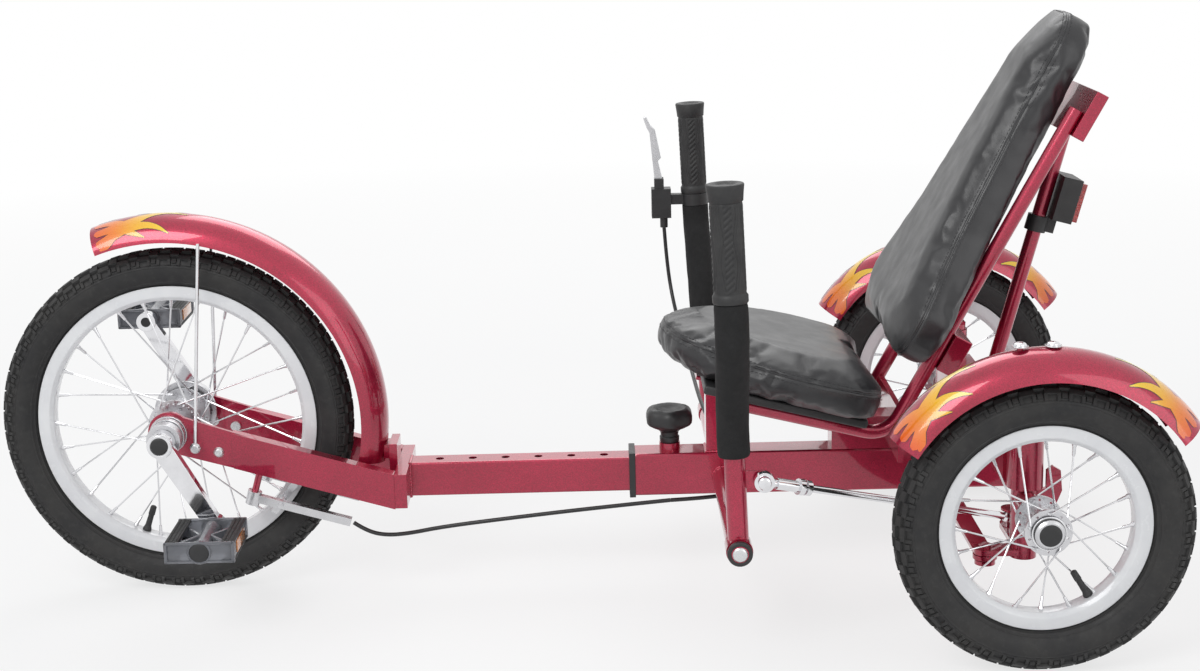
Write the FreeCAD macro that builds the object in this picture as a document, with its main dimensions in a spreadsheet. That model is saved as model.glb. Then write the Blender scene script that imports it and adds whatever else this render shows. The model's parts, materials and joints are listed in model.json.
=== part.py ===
# Low rider tricycle as a parametric FreeCAD document.
# Millimetres. -X is forward, -Y is the rider's left and +Z is up.
# The origin lies on the floor under the middle of the tricycle.
import FreeCAD
import Part
import Sketcher
import math
import os

Vec = FreeCAD.Vector

# Driving dimensions: every cell of the sheet is one of these plain numbers
SIZES = {
    # Wheels
    "wheel_base": 929.0,
    "wheel_half_track": 305.0,
    "front_tyre_radius": 201.0,
    "front_tyre_width": 49.0,
    "front_rim_radius": 159.5,
    "front_spoke_count": 28.0,
    "rear_tyre_radius": 152.5,
    "rear_tyre_width": 50.0,
    "rear_rim_radius": 107.5,
    "rear_spoke_count": 20.0,
    "rim_width": 26.0,
    "rim_wall": 1.8,
    "rim_bevel": 4.5,
    "rim_depth": 17.5,
    "tyre_wall": 3.5,
    "bead_height": 11.0,
    "spoke_radius": 1.0,
    "lace_angle": 52.0,
    "running_gap": 0.06,
    # Front hub, cranks and pedals
    "spindle_radius": 8.0,
    "spindle_reach": 110.0,
    "front_flange_radius": 30.0,
    "front_flange_offset": 26.0,
    "front_barrel_radius": 18.0,
    "flange_thick": 3.0,
    "freewheel_radius": 36.0,
    "freewheel_thick": 4.0,
    "cup_radius": 20.0,
    "cup_neck_radius": 17.0,
    "cup_inner_end": 47.5,
    "cup_outer_end": 91.0,
    "crank_length": 108.0,
    "crank_angle": 60.0,
    "crank_thick": 12.0,
    "crank_boss_radius": 14.0,
    "crank_eye_radius": 11.5,
    "pedal_spindle_radius": 5.0,
    "pedal_length": 84.0,
    "pedal_depth": 76.0,
    "pedal_height": 24.0,
    "pedal_gap": 3.0,
    # Fork and front fender
    "fork_arm_width": 16.0,
    "fork_arm_offset": 52.0,
    "fork_front": 70.0,
    "fork_rear": 250.0,
    "fork_slope": 16.5,
    "fork_depth": 41.0,
    "dropout_thick": 5.0,
    "dropout_radius": 24.0,
    "dropout_screw_near": 29.0,
    "dropout_screw_far": 54.0,
    "screw_radius": 3.5,
    "crown_length": 14.0,
    "fender_half_width": 35.0,
    "fender_sheet": 1.5,
    "front_fender_edge": 213.0,
    "front_fender_crest": 241.0,
    "front_fender_lead": 20.0,
    "front_fender_sweep": 123.0,
    "stay_radius": 2.0,
    # Telescoping main tube
    "tube_axis_height": 126.0,
    "outer_tube_width": 40.0,
    "outer_tube_height": 50.0,
    "outer_tube_wall": 2.5,
    "outer_tube_front": 524.0,
    "outer_tube_rear": 962.0,
    "boom_width": 32.0,
    "boom_height": 40.0,
    "boom_wall": 2.0,
    "boom_rear": 650.0,
    "slide_gap": 0.3,
    "collar_lip": 7.0,
    "collar_depth": 60.0,
    "lock_position": 564.5,
    "hole_pitch": 38.1,
    "hole_count": 8.0,
    "hole_radius": 4.8,
    "pin_radius": 4.0,
    "boss_radius": 12.0,
    "boss_height": 9.0,
    "knob_radius": 28.5,
    "knob_height": 26.0,
    "knob_lift": 3.2,
    # Rear axle beam and steering
    "beam_height": 40.0,
    "beam_length": 40.0,
    "king_offset": 215.0,
    "head_tube_radius": 19.0,
    "head_tube_bottom": 165.0,
    "head_tube_top": 235.0,
    "kingpin_radius": 12.0,
    "king_foot_radius": 14.0,
    "king_foot_bottom": 88.0,
    "stub_radius": 8.0,
    "rear_flange_radius": 24.0,
    "rear_flange_offset": 22.0,
    "rear_barrel_radius": 17.0,
    "hub_inner_reach": 42.0,
    "rear_cap_radius": 15.5,
    "rear_cap_depth": 7.0,
    "king_shoulder_radius": 12.0,
    "tie_arm_reach": 40.0,
    "king_arm_width": 24.0,
    "tie_arm_thick": 6.0,
    "tie_bar_thick": 5.0,
    "tie_bar_width": 20.0,
    "stud_radius": 4.0,
    "steer_arm_reach": 62.0,
    "rod_ring_height": 110.0,
    "rod_ring_thick": 5.0,
    "strap_thick": 4.0,
    "strap_width": 40.0,
    "rear_fender_edge": 157.0,
    "rear_fender_crest": 185.0,
    "rear_fender_lead": 58.0,
    "rear_fender_sweep": 113.0,
    "fender_bolt_pitch": 33.0,
    # Steering levers and rods
    "lever_pivot_x": 625.0,
    "lever_pivot_height": 121.0,
    "cross_tube_radius": 12.5,
    "cross_tube_end": 247.0,
    "lever_offset": 262.0,
    "lever_lean": 2.3,
    "lever_tube_radius": 11.0,
    "lever_bend_radius": 60.0,
    "lever_knee_low": 135.0,
    "lever_splay_angle": 34.8,
    "lever_splay": 73.0,
    "lever_top": 392.0,
    "bush_radius": 14.0,
    "bush_length": 26.0,
    "foam_radius": 16.8,
    "foam_start": 100.0,
    "grip_start": 276.0,
    "grip_radius": 16.0,
    "grip_rim_radius": 18.5,
    "rod_eye_x": 651.0,
    "rod_eye_height": 195.0,
    "rod_eye_radius": 10.5,
    "rod_eye_thick": 8.0,
    "rod_bolt_radius": 3.5,
    "rod_radius": 4.0,
    "rod_eye_out": 10.5,
    "tab_thick": 4.0,
    "ball_gap": 4.0,
    # Seat
    "rail_radius": 8.0,
    "rail_offset": 85.0,
    "rail_start_x": 640.0,
    "rail_start_height": 226.0,
    "rail_slope": 14.0,
    "rail_flat": 143.0,
    "rail_bend_radius": 34.0,
    "rail_back_angle": 29.0,
    "rail_rise": 384.0,
    "pan_thick": 10.5,
    "pan_length": 185.0,
    "pan_width": 220.0,
    "seat_length": 258.0,
    "seat_half_width": 150.0,
    "seat_thick": 40.0,
    "seat_crown": 11.0,
    "seat_nose": 106.0,
    "cushion_gap": 0.3,
    "back_length": 425.0,
    "back_start": 55.0,
    "back_half_width": 150.0,
    "back_top_half_width": 76.0,
    "back_thick": 42.0,
    "back_crown": 11.0,
    "post_width": 32.0,
    "post_x": 606.0,
    "strut_radius": 8.0,
    "strut_inset": 4.0,
    "plate_start": 357.0,
    "plate_height": 54.0,
    "plate_depth": 14.0,
    "reflector_height": 50.0,
    "reflector_width": 54.0,
    "reflector_depth": 22.0,
    "lens_depth": 6.0,
    # Brake
    "brake_pivot_along": 28.0,
    "brake_drop": 32.0,
    "brake_post_radius": 4.0,
    "brake_arm_length": 114.0,
    "brake_arm_width": 9.0,
    "brake_arm_offset": 46.0,
    "pad_drop": 10.0,
    "pad_gap": 2.5,
    "pad_length": 44.0,
    "pad_height": 8.0,
    "blade_reach": 46.55,
    "blade_pivot_rise": 8.0,
    "housing_drop": 16.29,
    "housing_height": 38.0,
    "clamp_start": 260.5,
    "clamp_length": 15.0,
    "cable_radius": 2.4,
    "blade_length": 92.0,
}

doc = FreeCAD.newDocument("LowRiderTricycle")
sheet = doc.addObject("Spreadsheet::Sheet", "Sizes")


class Size:
    """A number that remembers the sheet expression it comes from."""

    def __init__(self, value, text):
        self.value = float(value)
        self.text = text

    def __float__(self):
        return self.value

    def __add__(self, other):
        return join(self, "+", other, self.value + float(other))

    def __radd__(self, other):
        return join(other, "+", self, float(other) + self.value)

    def __sub__(self, other):
        return join(self, "-", other, self.value - float(other))

    def __rsub__(self, other):
        return join(other, "-", self, float(other) - self.value)

    def __mul__(self, other):
        return join(self, "*", other, self.value * float(other))

    def __rmul__(self, other):
        return join(other, "*", self, float(other) * self.value)

    def __truediv__(self, other):
        return join(self, "/", other, self.value / float(other))

    def __neg__(self):
        return join(-1.0, "*", self, -self.value)


def text_of(number):
    """The sheet expression of a size, or the digits of a plain number."""
    return number.text if isinstance(number, Size) else "%.6f" % number


def join(left, sign, right, value):
    return Size(value, "(%s %s %s)" % (text_of(left), sign, text_of(right)))


def sine(angle):
    return Size(math.sin(math.radians(float(angle))), "sin(%s)" % text_of(angle))


def cosine(angle):
    return Size(math.cos(math.radians(float(angle))), "cos(%s)" % text_of(angle))


def tangent(angle):
    return Size(math.tan(math.radians(float(angle))), "tan(%s)" % text_of(angle))


def square_root(number):
    return Size(math.sqrt(max(float(number), 0.0)), "sqrt(%s)" % text_of(number))


def slope_of(rise, run):
    """The angle in degrees whose tangent is the rise over the run."""
    angle = math.degrees(math.atan2(float(rise), float(run)))
    return Size(angle, "atan(%s / %s)" % (text_of(rise), text_of(run)))


class Table:
    """Each driving dimension as an attribute with its alias as the name."""


S = Table()
for row, (alias, number) in enumerate(SIZES.items(), start=1):
    sheet.set("A%d" % row, alias.replace("_", " "))
    sheet.set("B%d" % row, str(number))
    sheet.setAlias("B%d" % row, alias)
    setattr(S, alias, Size(number, "Sizes." + alias))
doc.recompute()

NODES = []


def node(item, label):
    """Give a finished sub-part its name and put it on the export list."""
    item.Label = label
    NODES.append(item)
    return item


# Placing and binding

def bind(item, path, size):
    item.setExpression(path, text_of(size))


def place(item, x, y, z, axis=(0, 0, 1), angle=0.0):
    """Put an object at a point, turned by an angle about an axis."""
    turn = FreeCAD.Rotation(Vec(*axis), float(angle))
    item.Placement = FreeCAD.Placement(Vec(float(x), float(y), float(z)), turn)
    for name, value in (("x", x), ("y", y), ("z", z)):
        bind(item, "Placement.Base." + name, value)
    if isinstance(angle, Size):
        bind(item, "Placement.Rotation.Angle", angle)
    return item


def along(start, direction, distance):
    """The point a distance away from a start point, as sizes."""
    return tuple(p + distance * d for p, d in zip(start, direction))


# Part primitives and booleans

def box(name, corner, sides, axis=(0, 0, 1), angle=0.0):
    item = doc.addObject("Part::Box", name)
    for prop, side in zip(("Length", "Width", "Height"), sides):
        bind(item, prop, side)
    return place(item, *corner, axis=axis, angle=angle)


TURNS = {"X": ((0, 1, 0), 90.0), "Y": ((-1, 0, 0), 90.0), "Z": ((0, 0, 1), 0.0)}


def rod(name, start, heading, radius, length):
    """A cylinder that runs from a point along +X, +Y or +Z."""
    item = doc.addObject("Part::Cylinder", name)
    bind(item, "Radius", radius)
    bind(item, "Height", length)
    axis, angle = TURNS[heading]
    return place(item, *start, axis=axis, angle=angle)


def cone(name, start, heading, radius, end_radius, length):
    item = doc.addObject("Part::Cone", name)
    bind(item, "Radius1", radius)
    bind(item, "Radius2", end_radius)
    bind(item, "Height", length)
    axis, angle = TURNS[heading]
    return place(item, *start, axis=axis, angle=angle)


def fuse(name, items):
    item = doc.addObject("Part::MultiFuse", name)
    item.Shapes = items
    return item


def cut(name, base, tool):
    item = doc.addObject("Part::Cut", name)
    item.Base = base
    item.Tool = tool
    return item


def shape_feature(name, shape):
    item = doc.addObject("Part::Feature", name)
    item.Shape = shape
    return item


def strut_between(name, start, end, radius):
    """A round bar between two points, for braces that lie on no axis."""
    first = Vec(*[float(v) for v in start])
    line = Vec(*[float(v) for v in end]) - first
    return Part.makeCylinder(float(radius), line.Length, first, line)


# PartDesign bodies

def body(name):
    return doc.addObject("PartDesign::Body", name)


def sketch(owner, role, offset=None):
    """A sketch on one of the body's own origin planes."""
    name = "%s_sketch" % owner.Name
    item = owner.newObject("Sketcher::SketchObject", name)
    plane = [p for p in owner.Origin.OriginFeatures if p.Role == role][0]
    item.AttachmentSupport = [(plane, "")]
    item.MapMode = "FlatFace"
    if offset is not None:
        item.AttachmentOffset = FreeCAD.Placement(Vec(0, 0, float(offset)), FreeCAD.Rotation())
        bind(item, "AttachmentOffset.Base.z", offset)
    return item


def dimension(item, kind, values, size):
    index = item.addConstraint(Sketcher.Constraint(kind, *values, float(size)))
    if isinstance(size, Size):
        bind(item, "Constraints[%d]" % index, size)


def pin_point(item, geometry, end, point):
    """Dimension one end of a line or arc, or a centre, from the origin."""
    dimension(item, "DistanceX", (-1, 1, geometry, end), point[0])
    dimension(item, "DistanceY", (-1, 1, geometry, end), point[1])


def circle(item, centre, radius):
    middle = Vec(float(centre[0]), float(centre[1]), 0)
    index = item.addGeometry(Part.Circle(middle, Vec(0, 0, 1), float(radius)), False)
    dimension(item, "Radius", (index,), radius)
    pin_point(item, index, 3, centre)
    return index


def arc_between(first, last, radius):
    """The arc under a half circle that bulges to the right of its chord."""
    chord = last - first
    middle = (first + last) * 0.5
    inward = Vec(-chord.y, chord.x, 0).normalize()
    depth = math.sqrt(max(abs(radius) ** 2 - (chord.Length / 2) ** 2, 0.0))
    side = 1.0 if radius > 0 else -1.0
    centre = middle + inward * depth * side
    round_one = Part.Circle(centre, Vec(0, 0, 1), abs(radius))
    ends = (first, last) if radius > 0 else (last, first)
    angles = [math.atan2(p.y - centre.y, p.x - centre.x) for p in ends]
    if angles[1] < angles[0]:
        angles[1] += 2 * math.pi
    return Part.ArcOfCircle(round_one, angles[0], angles[1])


def outline(item, points, radii=None, closed=True):
    """Lines, or arcs where a radius is given, through dimensioned points."""
    spots = [Vec(float(x), float(y), 0) for x, y in points]
    count = len(spots) if closed else len(spots) - 1
    ends = []
    for index in range(count):
        first, last = spots[index], spots[(index + 1) % len(spots)]
        radius = radii.get(index) if radii else None
        if radius is None:
            number = item.addGeometry(Part.LineSegment(first, last), False)
            ends.append((number, 1, 2))
            continue
        arc = arc_between(first, last, float(radius))
        number = item.addGeometry(arc, False)
        ends.append((number, 1, 2) if float(radius) > 0 else (number, 2, 1))
    for index in range(count if closed else count - 1):
        here, there = ends[index], ends[(index + 1) % count]
        item.addConstraint(Sketcher.Constraint("Coincident", here[0], here[2], there[0], there[1]))
    for index in range(count):
        pin_point(item, ends[index][0], ends[index][1], points[index])
    if not closed:
        pin_point(item, ends[-1][0], ends[-1][2], points[-1])
    for index, radius in (radii or {}).items():
        size = radius if float(radius) > 0 else -radius
        dimension(item, "Radius", (ends[index][0],), size)


def rectangle(item, left, bottom, width, height):
    outline(item, [(left, bottom), (left + width, bottom),
                   (left + width, bottom + height), (left, bottom + height)])


def pad(owner, profile, length, symmetric=False, reverse=False):
    item = owner.newObject("PartDesign::Pad", owner.Name + "_pad")
    item.Profile = profile
    bind(item, "Length", length)
    item.SideType = "Symmetric" if symmetric else "One side"
    item.Reversed = reverse
    return item


def pocket(owner, profile, length, symmetric=False, reverse=False):
    item = owner.newObject("PartDesign::Pocket", owner.Name + "_pocket")
    item.Profile = profile
    bind(item, "Length", length)
    item.SideType = "Symmetric" if symmetric else "One side"
    item.Reversed = reverse
    return item


def revolve(owner, profile, axis="H_Axis", angle=None):
    item = owner.newObject("PartDesign::Revolution", owner.Name + "_turning")
    item.Profile = profile
    item.ReferenceAxis = (profile, [axis])
    item.Angle = 360.0 if angle is None else float(angle)
    if angle is not None:
        bind(item, "Angle", angle)
    return item


def pipe(owner, profile, spine):
    item = owner.newObject("PartDesign::AdditivePipe", owner.Name + "_pipe")
    item.Profile = profile
    item.Spine = (spine, ["Edge%d" % (n + 1) for n in range(len(spine.Geometry))])
    return item


# Shared places, measured along X from the front axle

FRONT_AXLE_X = -(S.wheel_base + S.rear_tyre_radius - S.front_tyre_radius) / 2
SIDES = (("left", -1.0), ("right", 1.0))


def at(distance):
    """The X of a point a distance behind the front axle."""
    return FRONT_AXLE_X + distance


REAR_AXLE_X = at(S.wheel_base)
BOOM_TOP = S.tube_axis_height + S.boom_height / 2
BOOM_BOTTOM = S.tube_axis_height - S.boom_height / 2
TUBE_TOP = S.tube_axis_height + S.outer_tube_height / 2
FRONT_AXLE = (FRONT_AXLE_X, 0.0, S.front_tyre_radius)


def span(side, near, far):
    """Start and length along Y of what lies between two offsets on a side."""
    return (near if side > 0 else -far), far - near


# Wheels

def tyre(name, place_at, radius, width, rim_radius):
    """A hollow casing whose beads sit between the flanges of the rim."""
    owner = body(name)
    profile = sketch(owner, "YZ_Plane")
    half = width / 2
    bead = S.rim_width / 2 - S.rim_wall
    seat = rim_radius - S.bead_height
    lip = rim_radius + 1.0
    wide = (radius + lip) / 2
    crown = (half + radius - wide) / 2
    flank = (half - bead + wide - lip) / 2
    wall = S.tyre_wall
    points = [(-bead, seat), (-bead, lip), (-half, wide), (0.0, radius), (half, wide),
              (bead, lip), (bead, seat), (bead - wall, seat), (bead - wall, lip),
              (half - wall, wide), (0.0, radius - wall), (wall - half, wide),
              (wall - bead, lip), (wall - bead, seat)]
    inner_crown = crown - wall / 2
    radii = {1: -flank, 2: -crown, 3: -crown, 4: -flank,
             8: flank, 9: inner_crown, 10: inner_crown, 11: flank}
    outline(profile, points, radii)
    revolve(owner, profile)
    place(owner, *place_at)
    return node(owner, name)


def rim(name, place_at, radius):
    owner = body(name)
    profile = sketch(owner, "YZ_Plane")
    half = S.rim_width / 2
    inside = half - S.rim_wall
    bed = radius - S.bead_height - 0.2
    shoulder = radius - S.rim_depth + S.rim_bevel
    bottom = radius - S.rim_depth
    outline(profile, [(-half, radius), (-inside, radius), (-inside, bed), (inside, bed),
                      (inside, radius), (half, radius), (half, shoulder),
                      (half - S.rim_bevel, bottom), (S.rim_bevel - half, bottom),
                      (-half, shoulder)])
    revolve(owner, profile)
    place(owner, *place_at)
    return node(owner, name)


def hub(name, place_at, reach, bore, barrel, flange, offset, holes, cap_side=0):
    """A spool with two drilled flanges; a cap closes it on one side, if any."""
    owner = body(name)
    profile = sketch(owner, "YZ_Plane")
    half = S.flange_thick / 2
    neck = barrel - 3.0
    inner, outer = offset - half, offset + half
    side = cap_side if cap_side else 1
    points = [(-reach, bore), (-reach, neck), (-outer, neck), (-outer, flange),
              (-inner, flange), (-inner, barrel), (inner, barrel), (inner, flange),
              (outer, flange), (outer, neck)]
    if cap_side:
        shoulder = outer + 2.5
        end = shoulder + S.rear_cap_depth
        points += [(shoulder, neck), (shoulder, S.rear_cap_radius),
                   (end - 2.0, S.rear_cap_radius), (end, S.rear_cap_radius - 2.5),
                   (end, 0.0), (end - 3.0, 0.0), (end - 3.0, bore)]
    else:
        points += [(reach, neck), (reach, bore)]
    outline(profile, [(y * side, z) for y, z in points])
    revolve(owner, profile)
    drill = sketch(owner, "XZ_Plane")
    circle(drill, (0.0, flange - 4.0), S.spoke_radius + 0.4)
    hole = pocket(owner, drill, outer * 2 + 2.0, symmetric=True)
    doc.recompute()
    ring = owner.newObject("PartDesign::PolarPattern", name + "_ring")
    ring.Originals = [hole]
    axis = [a for a in owner.Origin.OriginFeatures if a.Role == "Y_Axis"][0]
    ring.Axis = (axis, [""])
    ring.Occurrences = int(float(holes) / 2)
    owner.Tip = ring
    return place(owner, *place_at)


def spokes(name, place_at, count, flange, offset, rim_radius):
    """Crossed spokes; the outer ones lean over the edge of their flange."""
    centre = Vec(*[float(v) for v in place_at])
    start_radius = float(flange) - 4.0
    end_radius = float(rim_radius - S.rim_depth) - 0.35
    face = float(S.flange_thick / 2 + S.spoke_radius) + 0.15
    rim_offset = 3.0
    lace = math.radians(float(S.lace_angle))
    across = start_radius * math.sin(lace)
    reach = end_radius - start_radius * math.cos(lace)
    cover = (math.sqrt(float(flange) ** 2 - across ** 2) - start_radius * math.cos(lace)) / reach
    outer = (float(offset) + face - rim_offset * cover) / (1 - cover)
    bars = []
    for index in range(int(float(count))):
        side = 1.0 if index % 2 else -1.0
        lean = 1.0 if (index // 2) % 2 else -1.0
        rim_angle = 2 * math.pi * index / float(count)
        hub_angle = rim_angle + lean * lace
        level = outer if lean > 0 else float(offset) - face
        start = Vec(start_radius * math.cos(hub_angle), side * level,
                    start_radius * math.sin(hub_angle))
        end = Vec(end_radius * math.cos(rim_angle), side * rim_offset,
                  end_radius * math.sin(rim_angle))
        bars.append(strut_between(name, centre + start, centre + end, S.spoke_radius))
    return node(shape_feature(name, Part.makeCompound(bars)), name)


tyre("front_tyre", FRONT_AXLE, S.front_tyre_radius, S.front_tyre_width, S.front_rim_radius)
rim("front_rim", FRONT_AXLE, S.front_rim_radius)
front_spool = hub("front_spool", FRONT_AXLE, S.cup_inner_end - 0.5,
                  S.spindle_radius + S.running_gap, S.front_barrel_radius,
                  S.front_flange_radius, S.front_flange_offset, S.front_spoke_count)
spokes("front_spokes", FRONT_AXLE, S.front_spoke_count, S.front_flange_radius,
       S.front_flange_offset, S.front_rim_radius)

for label, side in SIDES:
    axle = (REAR_AXLE_X, S.wheel_half_track * side, S.rear_tyre_radius)
    tyre(label + "_tyre", axle, S.rear_tyre_radius, S.rear_tyre_width, S.rear_rim_radius)
    rim(label + "_rim", axle, S.rear_rim_radius)
    spool = hub(label + "_spool", axle, S.hub_inner_reach, S.stub_radius + S.running_gap,
                S.rear_barrel_radius, S.rear_flange_radius, S.rear_flange_offset,
                S.rear_spoke_count, cap_side=side)
    node(spool, label + "_hub")
    spokes(label + "_spokes", axle, S.rear_spoke_count, S.rear_flange_radius,
           S.rear_flange_offset, S.rear_rim_radius)

# Freewheel cover on the right of the front hub

freewheel_start = S.front_flange_offset + S.flange_thick / 2 + 6.0
freewheel_disc = rod("freewheel_disc", (FRONT_AXLE_X, freewheel_start, S.front_tyre_radius),
                     "Y", S.freewheel_radius, S.freewheel_thick)
freewheel_bore = rod("freewheel_bore",
                     (FRONT_AXLE_X, freewheel_start - 1.0, S.front_tyre_radius),
                     "Y", S.front_barrel_radius - 3.0, S.freewheel_thick + 2.0)
freewheel = cut("freewheel", freewheel_disc, freewheel_bore)
node(fuse("hub_with_freewheel", [front_spool, freewheel]), "front_hub")

# Crank spindle, cranks and pedals

crank_reach = S.spindle_reach + 2.0
spindle = rod("crank_spindle", (FRONT_AXLE_X, -(S.spindle_reach - 1.0), S.front_tyre_radius),
              "Y", S.spindle_radius, (S.spindle_reach - 1.0) * 2)
node(spindle, "crank_spindle")


def crank(label, side):
    """A tapered arm with a boss on the spindle and an eye for the pedal."""
    owner = body(label + "_crank_arm")
    boss_inner = S.cup_outer_end + 1.0
    boss_length = crank_reach - boss_inner
    for centre, radius, start, thick in (
            (0.0, S.crank_boss_radius, boss_inner, boss_length),
            (S.crank_length, S.crank_eye_radius, crank_reach - S.crank_thick - 2.0,
             S.crank_thick + 1.0)):
        disc = sketch(owner, "XZ_Plane", -side * start)
        circle(disc, (centre, 0.0), radius)
        pad(owner, disc, thick, reverse=side > 0)
    arm = sketch(owner, "XZ_Plane", -side * (crank_reach - S.crank_thick - 1.0))
    outline(arm, [(0.0, -(S.crank_boss_radius - 2.5)),
                  (S.crank_length, -(S.crank_eye_radius - 2.5)),
                  (S.crank_length, S.crank_eye_radius - 2.5),
                  (0.0, S.crank_boss_radius - 2.5)])
    pad(owner, arm, S.crank_thick, reverse=side > 0)
    bore = sketch(owner, "XZ_Plane")
    circle(bore, (0.0, 0.0), S.spindle_radius)
    pocket(owner, bore, crank_reach * 2 + 2.0, symmetric=True)
    screw_eye = sketch(owner, "XZ_Plane")
    circle(screw_eye, (S.crank_length, 0.0), S.pedal_spindle_radius)
    pocket(owner, screw_eye, crank_reach * 2 + 2.0, symmetric=True)
    turn = S.crank_angle + (180.0 if side > 0 else 0.0)
    return place(owner, FRONT_AXLE_X, 0.0, S.front_tyre_radius, axis=(0, 1, 0), angle=turn)


def pedal(label, side):
    """Barrel, two tread blocks and two end plates that turn on a spindle."""
    x = FRONT_AXLE_X - S.crank_length * cosine(S.crank_angle) * side
    z = S.front_tyre_radius + S.crank_length * sine(S.crank_angle) * side
    inner = crank_reach + S.pedal_gap
    outer = inner + S.pedal_length
    start, length = span(side, inner, outer)
    plate = 4.0
    block = 15.0
    half_depth = S.pedal_depth / 2
    half_height = S.pedal_height / 2
    parts = [rod(label + "_pedal_barrel", (x, start, z), "Y", S.pedal_spindle_radius + 6.0, length)]
    for number, edge in enumerate((-half_depth, half_depth - block)):
        parts.append(box("%s_pedal_tread_%d" % (label, number),
                         (x + edge, start, z - half_height), (block, length, S.pedal_height)))
    for number, edge in enumerate((start, start + length - plate)):
        parts.append(box("%s_pedal_plate_%d" % (label, number),
                         (x - half_depth + 2.0, edge, z - half_height + 3.0),
                         (S.pedal_depth - 4.0, plate, S.pedal_height - 6.0)))
    stock = fuse(label + "_pedal_stock", parts)
    bore_start, bore_length = span(side, inner - 1.0, outer - 4.0)
    bore = rod(label + "_pedal_bore", (x, bore_start, z), "Y",
               S.pedal_spindle_radius + S.running_gap, bore_length)
    node(cut(label + "_pedal", stock, bore), label + "_pedal")
    pin_start, pin_length = span(side, crank_reach - S.crank_thick - 2.0, outer - 6.0)
    return rod(label + "_pedal_spindle", (x, pin_start, z), "Y",
               S.pedal_spindle_radius, pin_length)


for label, side in SIDES:
    arm = crank(label, side)
    screw = pedal(label, side)
    node(fuse(label + "_crank_with_spindle", [arm, screw]), label + "_crank")

# Front hub cups: stepped housings clamped in the dropouts

DROPOUT_IN = S.fork_arm_offset + 0.5
DROPOUT_OUT = DROPOUT_IN + S.dropout_thick
cups = []
for label, side in SIDES:
    steps = [(S.cup_inner_end, DROPOUT_IN, S.cup_radius),
             (DROPOUT_IN, DROPOUT_OUT, S.cup_neck_radius),
             (DROPOUT_OUT, DROPOUT_OUT + 7.0, S.cup_radius + 1.0),
             (DROPOUT_OUT + 7.0, DROPOUT_OUT + 9.0, S.cup_neck_radius),
             (DROPOUT_OUT + 9.0, DROPOUT_OUT + 17.0, S.cup_radius),
             (DROPOUT_OUT + 17.0, DROPOUT_OUT + 19.0, S.cup_neck_radius),
             (DROPOUT_OUT + 19.0, S.cup_outer_end, S.cup_radius - 1.0)]
    rings = []
    for number, (near, far, radius) in enumerate(steps):
        start, length = span(side, near, far)
        rings.append(rod("%s_cup_step_%d" % (label, number),
                         (FRONT_AXLE_X, start, S.front_tyre_radius), "Y", radius, length))
    start, length = span(side, S.cup_inner_end - 1.0, S.cup_outer_end + 1.0)
    bore = rod(label + "_cup_bore", (FRONT_AXLE_X, start, S.front_tyre_radius), "Y",
               S.spindle_radius + S.running_gap, length)
    cups.append(cut(label + "_cup", fuse(label + "_cup_stock", rings), bore))
node(fuse("hub_cups", cups), "hub_cups")

# Boom: the inner tube that carries the fork and slides in the main tube

FORK_TAN = tangent(S.fork_slope)
FORK_FRONT_TOP = BOOM_TOP + FORK_TAN * (S.fork_rear - S.fork_front)
FORK_FRONT_BOTTOM = FORK_FRONT_TOP - S.fork_depth
CROWN_REAR = S.fork_rear + S.crown_length


def holes_along(owner, name, first_x, z_offset, radius, depth):
    """A row of holes through the top wall, one pitch apart."""
    drill = sketch(owner, "XY_Plane", z_offset)
    circle(drill, (first_x, 0.0), radius)
    hole = pocket(owner, drill, depth)
    doc.recompute()
    row_of = owner.newObject("PartDesign::LinearPattern", name)
    row_of.Originals = [hole]
    axis = [a for a in owner.Origin.OriginFeatures if a.Role == "X_Axis"][0]
    row_of.Direction = (axis, [""])
    row_of.Reversed = True
    row_of.Occurrences = int(float(S.hole_count))
    row_of.Length = float(S.hole_pitch * (S.hole_count - 1.0))
    bind(row_of, "Length", S.hole_pitch * (S.hole_count - 1.0))
    owner.Tip = row_of


def square_tube(name, front, rear, width, height, wall):
    """A rectangular tube along X; its body starts at the tube's front end."""
    owner = body(name)
    section = sketch(owner, "YZ_Plane")
    rectangle(section, -width / 2, -height / 2, width, height)
    rectangle(section, wall - width / 2, wall - height / 2, width - wall * 2, height - wall * 2)
    pad(owner, section, rear - front)
    place(owner, at(front), 0.0, S.tube_axis_height)
    return owner


boom = square_tube("boom_tube", CROWN_REAR, S.boom_rear, S.boom_width, S.boom_height, S.boom_wall)
holes_along(boom, "boom_hole_row", S.lock_position - CROWN_REAR, S.boom_height / 2 + 1.0,
            S.hole_radius, S.boom_wall + 2.0)
node(boom, "boom_tube")

# Fork arms with their dropouts, cup holes and brake posts

FORK_DOWN = (-sine(S.fork_slope), 0.0, -cosine(S.fork_slope))
FORK_BACK = (cosine(S.fork_slope), 0.0, -sine(S.fork_slope))


def brake_pivot(side):
    """The middle of a brake arm's pivot, below the underside of its fork arm."""
    start = (at(S.fork_front), S.brake_arm_offset * side, FORK_FRONT_BOTTOM)
    return along(along(start, FORK_BACK, S.brake_pivot_along), FORK_DOWN, S.brake_drop)


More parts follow.
